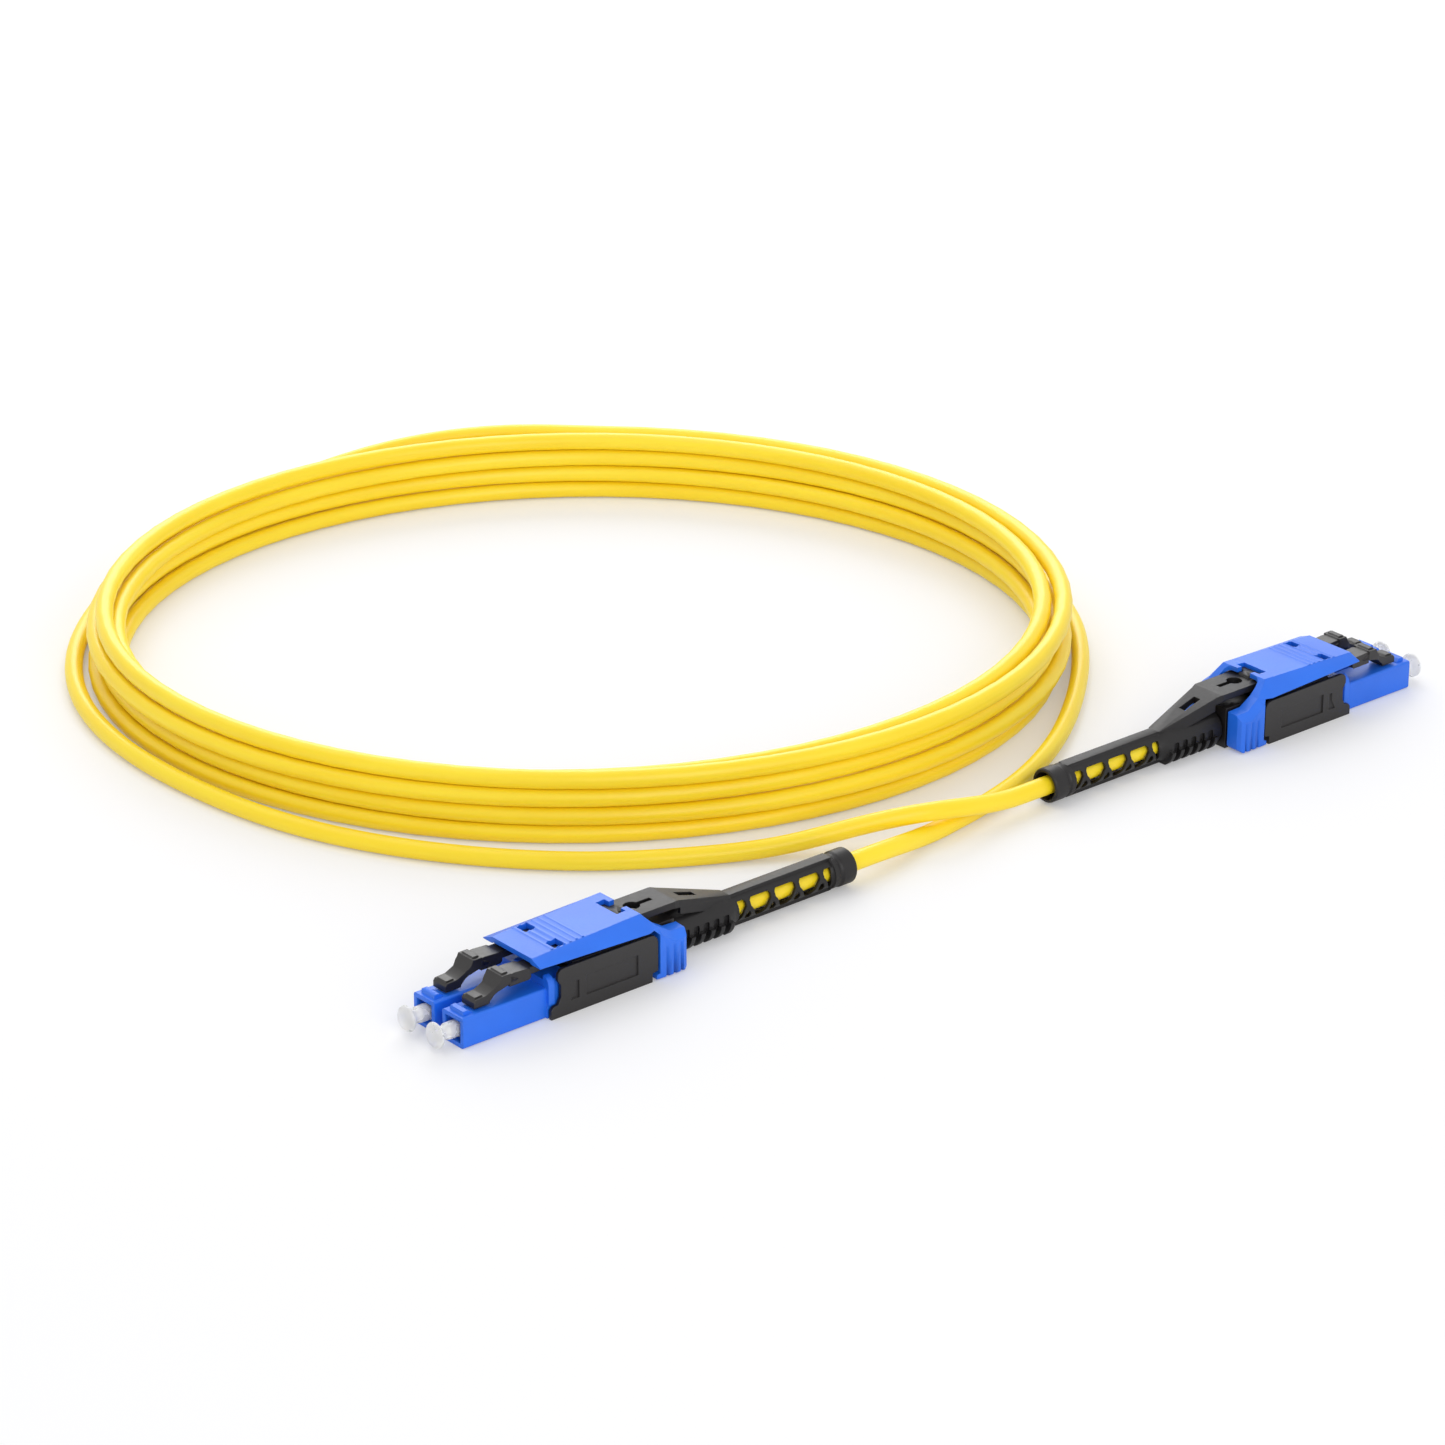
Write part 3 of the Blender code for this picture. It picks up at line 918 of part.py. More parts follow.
def smooth_route(points, start_way, end_way, spacing):
    """Evenly spaced points on the smooth cubic curve through the route's points, with its end directions
    given, and nowhere below the floor."""
    points = np.array(points, float)
    chords = np.linalg.norm(np.diff(points, axis=0), axis=1)
    count = len(points)
    system = np.eye(count)
    slopes = np.zeros((count, 3))
    slopes[0], slopes[-1] = start_way, end_way
    for i in range(1, count - 1):
        before, after = chords[i - 1], chords[i]
        system[i, i - 1:i + 2] = after, 2 * (before + after), before
        slopes[i] = 3 * (after * (points[i] - points[i - 1]) / before + before * (points[i + 1] - points[i]) / after)
    slopes = np.linalg.solve(system, slopes)
    t = np.linspace(0, 1, 40, endpoint=False)[:, None]
    pieces = []
    for i, chord in enumerate(chords):
        pieces.append((1 + 2 * t) * (1 - t) ** 2 * points[i] + t * (1 - t) ** 2 * chord * slopes[i]
                      + t * t * (3 - 2 * t) * points[i + 1] + t * t * (t - 1) * chord * slopes[i + 1])
    fine = np.concatenate(pieces + [points[-1:]])
    run = np.concatenate([[0], np.cumsum(np.linalg.norm(np.diff(fine, axis=0), axis=1))])
    stops = np.linspace(0, run[-1], max(2, round(run[-1] / spacing) + 1))
    path = np.stack([np.interp(stops, run, fine[:, k]) for k in range(3)], axis=1)
    path[:, 2] = np.maximum(path[:, 2], CORD_RADIUS)
    return path


def least_gap(path, apart):
    """Least gap between a tube and itself, for points at least this far apart along it."""
    run = np.concatenate([[0], np.cumsum(np.linalg.norm(np.diff(path, axis=0), axis=1))])
    stops = np.arange(0, run[-1], 1 * MM)
    fine = np.stack([np.interp(stops, run, path[:, k]) for k in range(3)], axis=1)
    distance = np.linalg.norm(fine[:, None] - fine[None], axis=2)
    distance[np.abs(stops[:, None] - stops[None]) < apart] = 1
    return distance.min() - CORD_DIAMETER


# Route of the end that runs from the coil to connector A, in millimetres: from A's boot, under the
# other end, and round the right of the coil on the floor.
ROUTE_A = [
    (-2.8, -0.6, 1.6), (4.0, 7.6, 1.4), (11.4, 18.4, 1.4), (15.8, 27.6, 1.4), (19.4, 38.8, 1.4), (22.0, 51.6, 1.4),
    (23.4, 64.0, 1.4), (23.2, 78.0, 1.4), (20.0, 93.0, 1.4), (12.6, 109.0, 1.4), (0.6, 123.0, 1.4), (-16.0, 134.0, 1.4),
    (-34.0, 139.4, 1.4),
]
# Route of the end that runs from the top of the coil down outside it, round its front, and over
# the other end to connector B, in millimetres.
ROUTE_B = [
    (-67.6, 140.6, 11.0), (-86.4, 137.2, 9.4), (-104.4, 127.4, 6.4), (-119.8, 111.4, 3.4), (-129.4, 91.6, 1.7), (-133.0, 69.0, 1.4),
    (-129.6, 47.0, 1.4), (-120.6, 29.0, 1.4), (-108.7, 15.0, 1.4), (-93.1, 2.5, 1.4), (-78.3, -4.4, 1.4), (-63.8, -8.0, 1.4),
    (-49.6, -9.0, 1.4), (-35.6, -7.4, 1.45), (-23.4, -4.9, 2.0), (-13.1, -2.5, 3.7), (-4.2, -0.8, 5.0), (3.2, 3.3, 4.2),
]


def place_cord(name, path, resolution):
    item = bpy.data.objects.new(name, tube_curve(name, path, CORD_RADIUS, resolution))
    item.data.materials.append(finish_material("yellow_jacket"))
    PARTS.objects.link(item)
    return item


def build_cord():
    """The coil and the two free stretches, which meet it face to face."""
    coil = coil_path()
    place_cord("cord_coil", coil, 1)
    gap = least_gap(coil, 60 * MM)
    print(f"least gap of the coil to itself: {gap / MM:.3f} mm")
    way = np.array([math.cos(CONNECTOR_YAW), math.sin(CONNECTOR_YAW), 0])
    coil_in = unit(coil[1] - coil[0])
    coil_out = unit(coil[-1] - coil[-2])
    spacing = 2.2 * CORD_DIAMETER
    face = SEAT_GAP
    mouth_a = np.array([-MOUTH[0], -MOUTH[1], CORD_Z])
    mouth_b = np.array([MOUTH[0], MOUTH[1], CORD_Z])
    # straight in the boot and for a little behind it, then free
    inside_a, outside_a = mouth_a - way * X_CORD_END, mouth_a + way * STRAIGHT_EXIT
    inside_b, outside_b = mouth_b + way * X_CORD_END, mouth_b - way * STRAIGHT_EXIT
    free_a = smooth_route([outside_a, *(np.array(ROUTE_A) * MM), coil[0] - coil_in * (face + CORD_DIAMETER)], way, coil_in, spacing)
    free_b = smooth_route([coil[-1] + coil_out * (face + CORD_DIAMETER), *(np.array(ROUTE_B) * MM), outside_b], coil_out, way, spacing)
    place_cord("cord_stretch_a", np.concatenate([[inside_a, mouth_a], free_a, [coil[0] - coil_in * face]]), 2)
    place_cord("cord_stretch_b", np.concatenate([[coil[-1] + coil_out * face], free_b, [mouth_b, inside_b]]), 2)


PARTS, CUTTERS = empty_scene()
build_connectors()
build_cord()
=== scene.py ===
"""A fibre optic patch cord on a pale studio floor: a yellow duplex lead wound in a coil, with a push-pull
duplex connector at each end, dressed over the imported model."""
import json
import math

import bmesh
import bpy
import numpy as np
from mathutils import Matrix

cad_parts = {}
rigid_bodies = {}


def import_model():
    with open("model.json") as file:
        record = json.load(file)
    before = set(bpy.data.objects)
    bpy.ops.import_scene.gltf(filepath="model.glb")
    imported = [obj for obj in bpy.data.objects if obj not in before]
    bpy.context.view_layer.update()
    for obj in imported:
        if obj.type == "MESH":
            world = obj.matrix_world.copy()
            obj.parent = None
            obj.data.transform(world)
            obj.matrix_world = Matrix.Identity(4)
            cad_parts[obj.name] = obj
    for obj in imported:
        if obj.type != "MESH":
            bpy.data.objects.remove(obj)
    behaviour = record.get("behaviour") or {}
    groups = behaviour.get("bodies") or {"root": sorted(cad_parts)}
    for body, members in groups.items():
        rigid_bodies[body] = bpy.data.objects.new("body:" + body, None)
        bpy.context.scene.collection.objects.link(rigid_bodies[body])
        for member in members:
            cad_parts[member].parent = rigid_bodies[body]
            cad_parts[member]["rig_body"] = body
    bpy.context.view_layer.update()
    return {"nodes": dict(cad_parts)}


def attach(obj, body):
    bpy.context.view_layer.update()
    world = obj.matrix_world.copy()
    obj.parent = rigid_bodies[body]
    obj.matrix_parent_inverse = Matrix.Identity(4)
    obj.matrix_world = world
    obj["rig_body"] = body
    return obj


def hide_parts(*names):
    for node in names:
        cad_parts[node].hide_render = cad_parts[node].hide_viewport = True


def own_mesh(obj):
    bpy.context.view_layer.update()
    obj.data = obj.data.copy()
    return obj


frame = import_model()


# The studio. A white table top under a bright white tent, with a wide lamp low behind, which gives the tops
# of things their sheen, one high on the left and one in front. Seen straight on or in a gloss, tent and
# table are white; the table keeps the soft shadows that lie close round the cord and the connectors.
view_centre = np.array([-0.0322, 0.0425, 0.0])
view_height = math.radians(24)
view_distance = 0.7576
camera = bpy.data.objects.new("camera", bpy.data.cameras.new("camera"))
camera.data.lens = 124.567
camera.data.sensor_width = 36
camera.data.clip_start = 0.01
camera.location = view_centre + view_distance * np.array([0, -math.cos(view_height), math.sin(view_height)])
camera.rotation_euler = (math.pi / 2 - view_height, 0, 0)
bpy.context.scene.collection.objects.link(camera)
bpy.context.scene.camera = camera
bpy.context.scene.view_settings.view_transform = "Standard"


def linear(code):
    """A hex colour, as the eye sees it, as linear red, green, blue and alpha: each channel c becomes
    c / 12.92 below 0.04045 and ((c + 0.055) / 1.055) to the power 2.4 above."""
    c = np.array([int(code[i:i + 2], 16) for i in (0, 2, 4)]) / 255
    return (*np.where(c <= 0.04045, c / 12.92, ((c + 0.055) / 1.055) ** 2.4).tolist(), 1.0)


def add(tree, kind, settings={}, values={}, links={}):
    """One node, with its settings, its sockets' values, and what its sockets are linked from."""
    item = tree.nodes.new(kind)
    for name, value in settings.items():
        setattr(item, name, value)
    for name, value in values.items():
        item.inputs[name].default_value = value
    for name, source in links.items():
        tree.links.new(source, item.inputs[name])
    return item


def seen_plainly(tree):
    """A socket that is 1 on rays from the camera, through a clear cap or off a gloss, and 0 on all others."""
    ray = add(tree, "ShaderNodeLightPath")
    direct = add(tree, "ShaderNodeMath", {"operation": "MAXIMUM"},
                 links={0: ray.outputs["Is Camera Ray"], 1: ray.outputs["Is Transmission Ray"]})
    return add(tree, "ShaderNodeMath", {"operation": "MAXIMUM"},
               links={0: direct.outputs[0], 1: ray.outputs["Is Glossy Ray"]}).outputs[0]


def bare_material(name):
    """A material of that name with no nodes yet, and its node tree."""
    made = bpy.data.materials.new(name)
    made.use_nodes = True
    made.node_tree.nodes.clear()
    return made, made.node_tree


def studio_lamp(name, place, width, power):
    """A square lamp that faces the middle of the view."""
    lamp = bpy.data.objects.new(name, bpy.data.lights.new(name, "AREA"))
    lamp.data.size = width
    lamp.data.energy = power
    away = np.array(place) - view_centre
    flat = math.hypot(away[0], away[1])
    lamp.location = place
    lamp.rotation_euler = (math.atan2(flat, away[2]), 0, math.atan2(away[0], -away[1]))
    bpy.context.scene.collection.objects.link(lamp)


studio_lamp("softbox_behind", (-0.10, 0.80, 0.50), 0.60, 3.6)
studio_lamp("softbox_high", (-0.30, 0.10, 0.75), 0.55, 1.1)
studio_lamp("softbox_front", (0.30, -0.75, 0.38), 0.55, 2.6)

tent_light, tent_seen = 0.66, 1.0
tent = bpy.data.worlds.new("white_tent")
bpy.context.scene.world = tent
tent.use_nodes = True
tree = tent.node_tree
tree.nodes.clear()
level = add(tree, "ShaderNodeMapRange", values={"To Min": tent_light, "To Max": tent_seen},
            links={"Value": seen_plainly(tree)})
glow = add(tree, "ShaderNodeBackground", values={"Color": (1, 1, 1, 1)},
           links={"Strength": level.outputs[0]})
add(tree, "ShaderNodeOutputWorld", links={"Surface": glow.outputs[0]})

# White laminate: a matt sheet, even in colour. What the camera and the gloss see of it is a little greyer
# and gets some white of its own, so that the shadows on it stay pale and neutral, and more of it from
# 0.3 m out, where the lamps fade.
fade_start, fade_end = 0.3, 1.1
white_near, white_far = 0.22, 0.55
table_top, tree = bare_material("white_laminate_matt")
sheet = add(tree, "ShaderNodeBsdfDiffuse", values={"Color": linear("F4F4F4")})
greyer = add(tree, "ShaderNodeBsdfDiffuse", values={"Color": linear("DCDCDE")})
spot = add(tree, "ShaderNodeTexCoord")
far = add(tree, "ShaderNodeVectorMath", {"operation": "LENGTH"}, links={0: spot.outputs["Object"]})
fill = add(tree, "ShaderNodeMapRange", {"interpolation_type": "SMOOTHSTEP"},
           {"From Min": fade_start, "From Max": fade_end, "To Min": white_near, "To Max": white_far},
           {"Value": far.outputs["Value"]})
white = add(tree, "ShaderNodeEmission", values={"Color": (1, 1, 1, 1)}, links={"Strength": fill.outputs[0]})
shown = add(tree, "ShaderNodeAddShader", links={0: greyer.outputs[0], 1: white.outputs[0]})
both = add(tree, "ShaderNodeMixShader",
           links={"Fac": seen_plainly(tree), 1: sheet.outputs[0], 2: shown.outputs[0]})
add(tree, "ShaderNodeOutputMaterial", links={"Surface": both.outputs[0]})


def mesh_item(name, points, faces):
    """An object at the origin, whose mesh has those points and faces."""
    mesh = bpy.data.meshes.new(name)
    mesh.from_pydata(points.tolist(), [], faces)
    item = bpy.data.objects.new(name, mesh)
    bpy.context.scene.collection.objects.link(item)
    return item


def grid_faces(rows, columns, closed):
    """Quads between neighbouring rows of points; where it is closed, the last column joins the first."""
    i, j = np.meshgrid(np.arange(rows - 1), np.arange(columns if closed else columns - 1), indexing="ij")
    k = (j + 1) % columns
    corners = [i * columns + j, i * columns + k, (i + 1) * columns + k, (i + 1) * columns + j]
    return np.stack(corners, axis=-1).reshape(-1, 4)


def surface(name, points, closed=False, uv=None):
    """A smooth mesh object on a grid of points of shape (rows, columns, 3), with an optional UV per point.
    A face that crosses the seam takes V on past 1."""
    rows, columns = points.shape[:2]
    faces = grid_faces(rows, columns, closed)
    item = mesh_item(name, points.reshape(-1, 3), faces.tolist())
    item.data.polygons.foreach_set("use_smooth", np.full(len(faces), True))
    if uv is not None:
        across = uv.reshape(-1, 2)[faces]
        across[..., 1] += np.where(across[..., 1] < across[..., :1, 1] - 0.5, 1.0, 0.0)
        item.data.uv_layers.new(name="UVMap").data.foreach_set("uv", across.ravel())
    item.data.update()
    return item


table_half = 1.6
table_height = -0.00005
stops = np.linspace(-table_half, table_half, 9)
flat_x, flat_y = np.meshgrid(stops, stops, indexing="xy")
table = surface("studio_table", np.stack([flat_x, flat_y, np.full_like(flat_x, table_height)], axis=-1))
table.data.materials.append(table_top)


# The cord. A round duplex cable, 2.8 mm over its PVC jacket, in one unbroken run from the crimp in one
# boot to the crimp in the other: six turns laid in four layers, each strand resting on the one below,
# and a loose end to each connector.
cord_radius = 0.0014
layer_pitch = 0.00285
strand_pitch = 0.00326
coil_centre = np.array([-0.0544, 0.0690])
coil_half = np.array([0.0760, 0.0706])
coil_start = math.radians(88)
coil_clearance = 0.0031
connector_yaw = math.radians(40.2)
boot_mouth = np.array([0.0148, 0.0132, 0.0029])
straight_from_mouth = 0.005
crimp_end = 0.0308
point_spacing = 0.002
cord_way = np.array([math.cos(connector_yaw), math.sin(connector_yaw), 0.0])
route_a = np.array([
    (-2.8, -0.6, 1.6), (4.0, 7.6, 1.4), (11.4, 18.4, 1.4), (15.8, 27.6, 1.4), (19.4, 38.8, 1.4),
    (22.0, 51.6, 1.4), (23.4, 64.0, 1.4), (23.2, 78.0, 1.4), (20.0, 93.0, 1.4), (12.6, 109.0, 1.4),
    (0.6, 123.0, 1.4), (-16.0, 134.0, 1.4), (-34.0, 139.4, 1.4)]) / 1000
route_b = np.array([
    (-67.6, 140.6, 9.8), (-86.4, 137.2, 8.6), (-104.4, 127.4, 6.0), (-119.8, 111.4, 3.3),
    (-129.4, 91.6, 1.7), (-133.0, 69.0, 1.4), (-129.6, 47.0, 1.4), (-120.6, 29.0, 1.4), (-108.7, 15.0, 1.4),
    (-93.1, 2.5, 1.4), (-78.3, -4.4, 1.4), (-63.8, -8.0, 1.4), (-49.6, -9.0, 1.4), (-35.6, -7.4, 1.45),
    (-23.4, -4.9, 2.0), (-13.1, -2.5, 3.7), (-4.2, -0.8, 5.0), (3.2, 3.3, 4.2)]) / 1000


def ease(t):
    """Rises from 0 to 1 with level ends: 3 t squared less 2 t cubed."""
    t = np.clip(t, 0, 1)
    return t * t * (3 - 2 * t)


def coil_line(turns=6, layers=4, per_turn=72, climb_turns=0.5):
    """The coil's centreline. The angle grows evenly. The radius shrinks by a strand pitch a turn through
    one layer and grows through the next, and the height climbs a layer pitch over half a turn about each
    reversal."""
    per_layer = turns / layers
    turn = np.arange(turns * per_turn + 1) / per_turn
    layer = np.minimum((turn / per_layer).astype(int), layers - 1)
    along = turn - layer * per_layer
    inward = np.where(layer % 2 == 0, along, per_layer - along) * strand_pitch
    climbed = sum(ease((turn - k * per_layer) / climb_turns + 0.5) for k in range(1, layers))
    angle = coil_start + math.tau * turn
    x = coil_centre[0] + (coil_half[0] - inward) * np.cos(angle)
    y = coil_centre[1] + (coil_half[1] - inward) * np.sin(angle)
    return np.stack([x, y, cord_radius + climbed * layer_pitch], axis=1)


def free_line(points, start_way, end_way, per_span=40):
    """The smooth cubic curve through the points, with its end directions given, at even steps along it. The
    slopes at the points solve one linear system, so that the bend is even from span to span. Nothing dips
    below the table."""
    chord = np.linalg.norm(np.diff(points, axis=0), axis=1)
    count = len(points)
    system = np.eye(count)
    inner = np.arange(1, count - 1)
    system[inner, inner - 1] = chord[1:]
    system[inner, inner] = 2 * (chord[:-1] + chord[1:])
    system[inner, inner + 1] = chord[:-1]
    slope = np.zeros((count, 3))
    slope[0], slope[-1] = start_way, end_way
    step = np.diff(points, axis=0) / chord[:, None]
    slope[1:-1] = 3 * (chord[1:, None] * step[:-1] + chord[:-1, None] * step[1:])
    slope = np.linalg.solve(system, slope)
    t = np.linspace(0, 1, per_span, endpoint=False)[None, :, None]
    a, b, h = points[:-1, None], points[1:, None], chord[:, None, None]
    line = ((1 + 2 * t) * (1 - t) ** 2 * a + t * (1 - t) ** 2 * h * slope[:-1, None]
            + t * t * (3 - 2 * t) * b + t * t * (t - 1) * h * slope[1:, None]).reshape(-1, 3)
    line = np.concatenate([line, points[-1:]])
    run = np.concatenate([[0], np.cumsum(np.linalg.norm(np.diff(line, axis=0), axis=1))])
    stops = np.linspace(0, run[-1], round(run[-1] / point_spacing) + 1)
    line = np.stack([np.interp(stops, run, line[:, k]) for k in range(3)], axis=1)
    line[:, 2] = np.maximum(line[:, 2], cord_radius)
    return line


def seal(item):
    """Merges the doubles where an item's rows close to a point, and turns its faces outwards."""
    skin = bmesh.new()
    skin.from_mesh(item.data)
    bmesh.ops.remove_doubles(skin, verts=skin.verts, dist=1e-7)
    bmesh.ops.recalc_face_normals(skin, faces=skin.faces)
    skin.to_mesh(item.data)
    skin.free()


def tube(name, line, radius, sides):
    """A round tube: at each point of the line, a circle in the plane of the level sideways direction and
    the direction square to it and to the line. U runs along in metres and V once round. Its ends are
    closed, as the first and last circle are repeated with no radius."""
    ahead = np.gradient(line, axis=0)
    ahead /= np.linalg.norm(ahead, axis=1)[:, None]
    aside = np.cross(ahead, (0.0, 0.0, 1.0))
    aside /= np.linalg.norm(aside, axis=1)[:, None]
    above = np.cross(aside, ahead)
    turn = np.linspace(0, math.tau, sides, endpoint=False)
    ring = np.cos(turn)[None, :, None] * aside[:, None] + np.sin(turn)[None, :, None] * above[:, None]
    ends = np.array([0.0] + [1.0] * len(line) + [0.0])[:, None, None]
    line, ring = line[[0, *range(len(line)), -1]], ring[[0, *range(len(ring)), -1]]
    run = np.concatenate([[0], np.cumsum(np.linalg.norm(np.diff(line, axis=0), axis=1))])
    uv = np.stack(np.broadcast_arrays(run[:, None], turn[None] / math.tau), axis=-1)
    item = surface(name, line[:, None] + radius * ends * ring, closed=True, uv=uv.copy())
    seal(item)
    return item


coil = coil_line()
into_coil = (coil[1] - coil[0]) / np.linalg.norm(coil[1] - coil[0])
out_of_coil = (coil[-1] - coil[-2]) / np.linalg.norm(coil[-1] - coil[-2])
mouth_a, mouth_b = boot_mouth * (-1, -1, 1), boot_mouth
leaving_a, leaving_b = mouth_a + straight_from_mouth * cord_way, mouth_b - straight_from_mouth * cord_way
before_coil, after_coil = coil[0] - coil_clearance * into_coil, coil[-1] + coil_clearance * out_of_coil
lead_a = free_line(np.concatenate([[leaving_a], route_a, [before_coil]]), cord_way, into_coil)
lead_b = free_line(np.concatenate([[after_coil], route_b, [leaving_b]]), out_of_coil, cord_way)
in_boot = crimp_end * np.linspace(1, 0, 12)[:, None] * cord_way
cord_line = np.concatenate([mouth_a - in_boot, lead_a, coil, lead_b, (mouth_b + in_boot)[::-1]])
cord = tube("cord", cord_line, cord_radius, sides=20)

# Flexible PVC, extruded over the fibres: satin, the yellow a little uneven along the run, in patches of
# 25 mm, and a faint grain of about 0.6 mm, coarser than the real one so that it shows.
jacket, tree = bare_material("pvc_jacket_extruded")
spot = add(tree, "ShaderNodeUVMap", {"uv_map": "UVMap"})
drawn = add(tree, "ShaderNodeMapping", values={"Scale": (40, 3, 1)}, links={"Vector": spot.outputs[0]})
cloud = add(tree, "ShaderNodeTexNoise", values={"Scale": 1.0, "Detail": 3.0},
            links={"Vector": drawn.outputs[0]})
tone = add(tree, "ShaderNodeValToRGB", links={"Fac": cloud.outputs[0]})
tone.color_ramp.elements[0].position, tone.color_ramp.elements[0].color = 0.3, linear("FBD814")
tone.color_ramp.elements[1].position, tone.color_ramp.elements[1].color = 0.7, linear("FFE32A")
place = add(tree, "ShaderNodeTexCoord")
grain = add(tree, "ShaderNodeTexNoise", values={"Scale": 1600.0, "Detail": 2.0},
            links={"Vector": place.outputs["Object"]})
relief = add(tree, "ShaderNodeBump", values={"Strength": 0.12, "Distance": 0.00008},
             links={"Height": grain.outputs[0]})
gloss = add(tree, "ShaderNodeMapRange", values={"To Min": 0.36, "To Max": 0.46},
            links={"Value": grain.outputs[0]})
skin = add(tree, "ShaderNodeBsdfPrincipled",
           values={"IOR": 1.53, "Subsurface Weight": 0.12, "Subsurface Scale": 0.0006,
                   "Subsurface Radius": (1.0, 0.7, 0.15)},
           links={"Base Color": tone.outputs[0], "Roughness": gloss.outputs[0], "Normal": relief.outputs[0]})
add(tree, "ShaderNodeOutputMaterial", links={"Surface": skin.outputs[0]})
cord.data.materials.append(jacket)
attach(cord, "cord_and_housings")
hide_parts("cord_coil", "cord_stretch_a", "cord_stretch_b")


# The housings and covers. Blue PBT, injection moulded in polished tools: the two noses with their flange,
# and the sliding cover whose wings the fingers pull. Every edge has the small round that a mould leaves.
weld_gap = 2e-6
sliver = 1e-6
flat_angle = math.radians(0.3)
mould_round = 0.00015


def dressed(name, node, limit=28, trim=None, openings=None):
    """A piece over a node's own faces: a copy with its doubles merged, any trim joined to it and any openings
    cut out of it, or else its coplanar triangles joined. It is smooth below that limit in degrees and sharp
    above it, and its normals lean to the larger faces."""
    work = bmesh.new()
    work.from_mesh(frame["nodes"][node].data)
    bmesh.ops.remove_doubles(work, verts=work.verts, dist=weld_gap)
    mesh = bpy.data.meshes.new(name)
    work.to_mesh(mesh)
    work.clear()
    item = bpy.data.objects.new(name, mesh)
    bpy.context.scene.collection.objects.link(item)
    for operation, tool in (("UNION", trim), ("DIFFERENCE", openings)):
        if tool:
            step = item.modifiers.new("step", "BOOLEAN")
            step.operation, step.solver, step.object = operation, "EXACT", tool
            mesh = bpy.data.meshes.new_from_object(
                item.evaluated_get(bpy.context.evaluated_depsgraph_get()))
            item.modifiers.clear()
            item.data = mesh
            bpy.data.objects.remove(tool)
    work.from_mesh(mesh)
    if openings:
        bmesh.ops.dissolve_degenerate(work, dist=sliver, edges=work.edges)
    else:
        bmesh.ops.dissolve_limit(work, angle_limit=flat_angle, verts=work.verts, edges=work.edges)
    work.to_mesh(mesh)
    work.free()
    mesh.shade_smooth()
    mesh.set_sharp_from_angle(angle=math.radians(limit))
    item.modifiers.new("even_normals", "WEIGHTED_NORMAL").keep_sharp = True
    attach(item, frame["nodes"][node]["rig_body"])
    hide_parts(node)
    return item


def moulded(name, code, darker, rough, grain, relief_depth, ior):
    """A moulded plastic: the colour drifts a little towards a darker one over 9 mm or so, as it does away
    from the gate, a fine noise gives the tool's texture its relief and its uneven gloss, and every edge
    catches the light along the small round that a mould leaves. The grain is how many of its cells lie in
    a metre: 2600 makes them 0.4 mm, which is as fine as shows in the render."""
    made, tree = bare_material(name)
    place = add(tree, "ShaderNodeTexCoord")
    drift = add(tree, "ShaderNodeTexNoise", values={"Scale": 110.0, "Detail": 2.0},
                links={"Vector": place.outputs["Object"]})
    tone = add(tree, "ShaderNodeValToRGB", links={"Fac": drift.outputs[0]})
    tone.color_ramp.elements[0].position, tone.color_ramp.elements[0].color = 0.35, linear(darker)
    tone.color_ramp.elements[1].position, tone.color_ramp.elements[1].color = 0.65, linear(code)
    fine = add(tree, "ShaderNodeTexNoise", values={"Scale": grain, "Detail": 3.0},
               links={"Vector": place.outputs["Object"]})
    edge = add(tree, "ShaderNodeBevel", {"samples": 6}, {"Radius": mould_round})
    relief = add(tree, "ShaderNodeBump", values={"Strength": 0.25, "Distance": relief_depth},
                 links={"Height": fine.outputs[0], "Normal": edge.outputs[0]})
    gloss = add(tree, "ShaderNodeMapRange", values={"To Min": rough - 0.05, "To Max": rough + 0.06},
                links={"Value": fine.outputs[0]})
    skin = add(tree, "ShaderNodeBsdfPrincipled", values={"IOR": ior},
               links={"Base Color": tone.outputs[0], "Roughness": gloss.outputs[0],
                      "Normal": relief.outputs[0]})
    add(tree, "ShaderNodeOutputMaterial", links={"Surface": skin.outputs[0]})
    return made


blue_pbt = moulded("pbt_blue_moulded", "1A70EE", "1769E3", 0.44, 2600.0, 0.00004, 1.54)
for end in "ab":
    for name, node in ((f"noses_{end}", f"front_housing_{end}"), (f"cover_{end}", f"slide_cover_{end}")):
        piece = dressed(name, node)
        piece.data.materials.append(blue_pbt)


# The black mouldings. The body with its side panels and the lid under the cover are black PBT from a
# finely blasted tool. The latches are the same: a foot with a raised pad on the nose, a cross shoulder with
# a low cap, and behind it an arm as thick as the shoulder that springs down when it is pressed.
connector_place = {"a": (-boot_mouth[0], -boot_mouth[1], math.radians(220.2)),
                   "b": (boot_mouth[0], boot_mouth[1], connector_yaw)}
nose_offset = 0.003125

# Each part of a latch's trim as seen from the side, ahead of the boot's mouth and above the table, with its
# reach to either side of the middle: the arm, the shoulder's cap and the pad on the foot.
arm_side = np.array([(63.6, 6.25), (63.6, 8.0), (62.9, 8.1), (60.5, 7.95), (60.0, 7.7), (60.0, 6.55),
                     (60.3, 6.25)]) / 1000
shoulder_side = np.array([(64.95, 8.1), (64.7, 8.48), (63.85, 8.48), (63.6, 8.1)]) / 1000
pad_side = np.array([(69.38, 5.8), (69.1, 6.2), (67.95, 6.28), (67.6, 5.9)]) / 1000
latch_sides = ((arm_side, 0.00148), (shoulder_side, 0.00115), (pad_side, 0.00098))


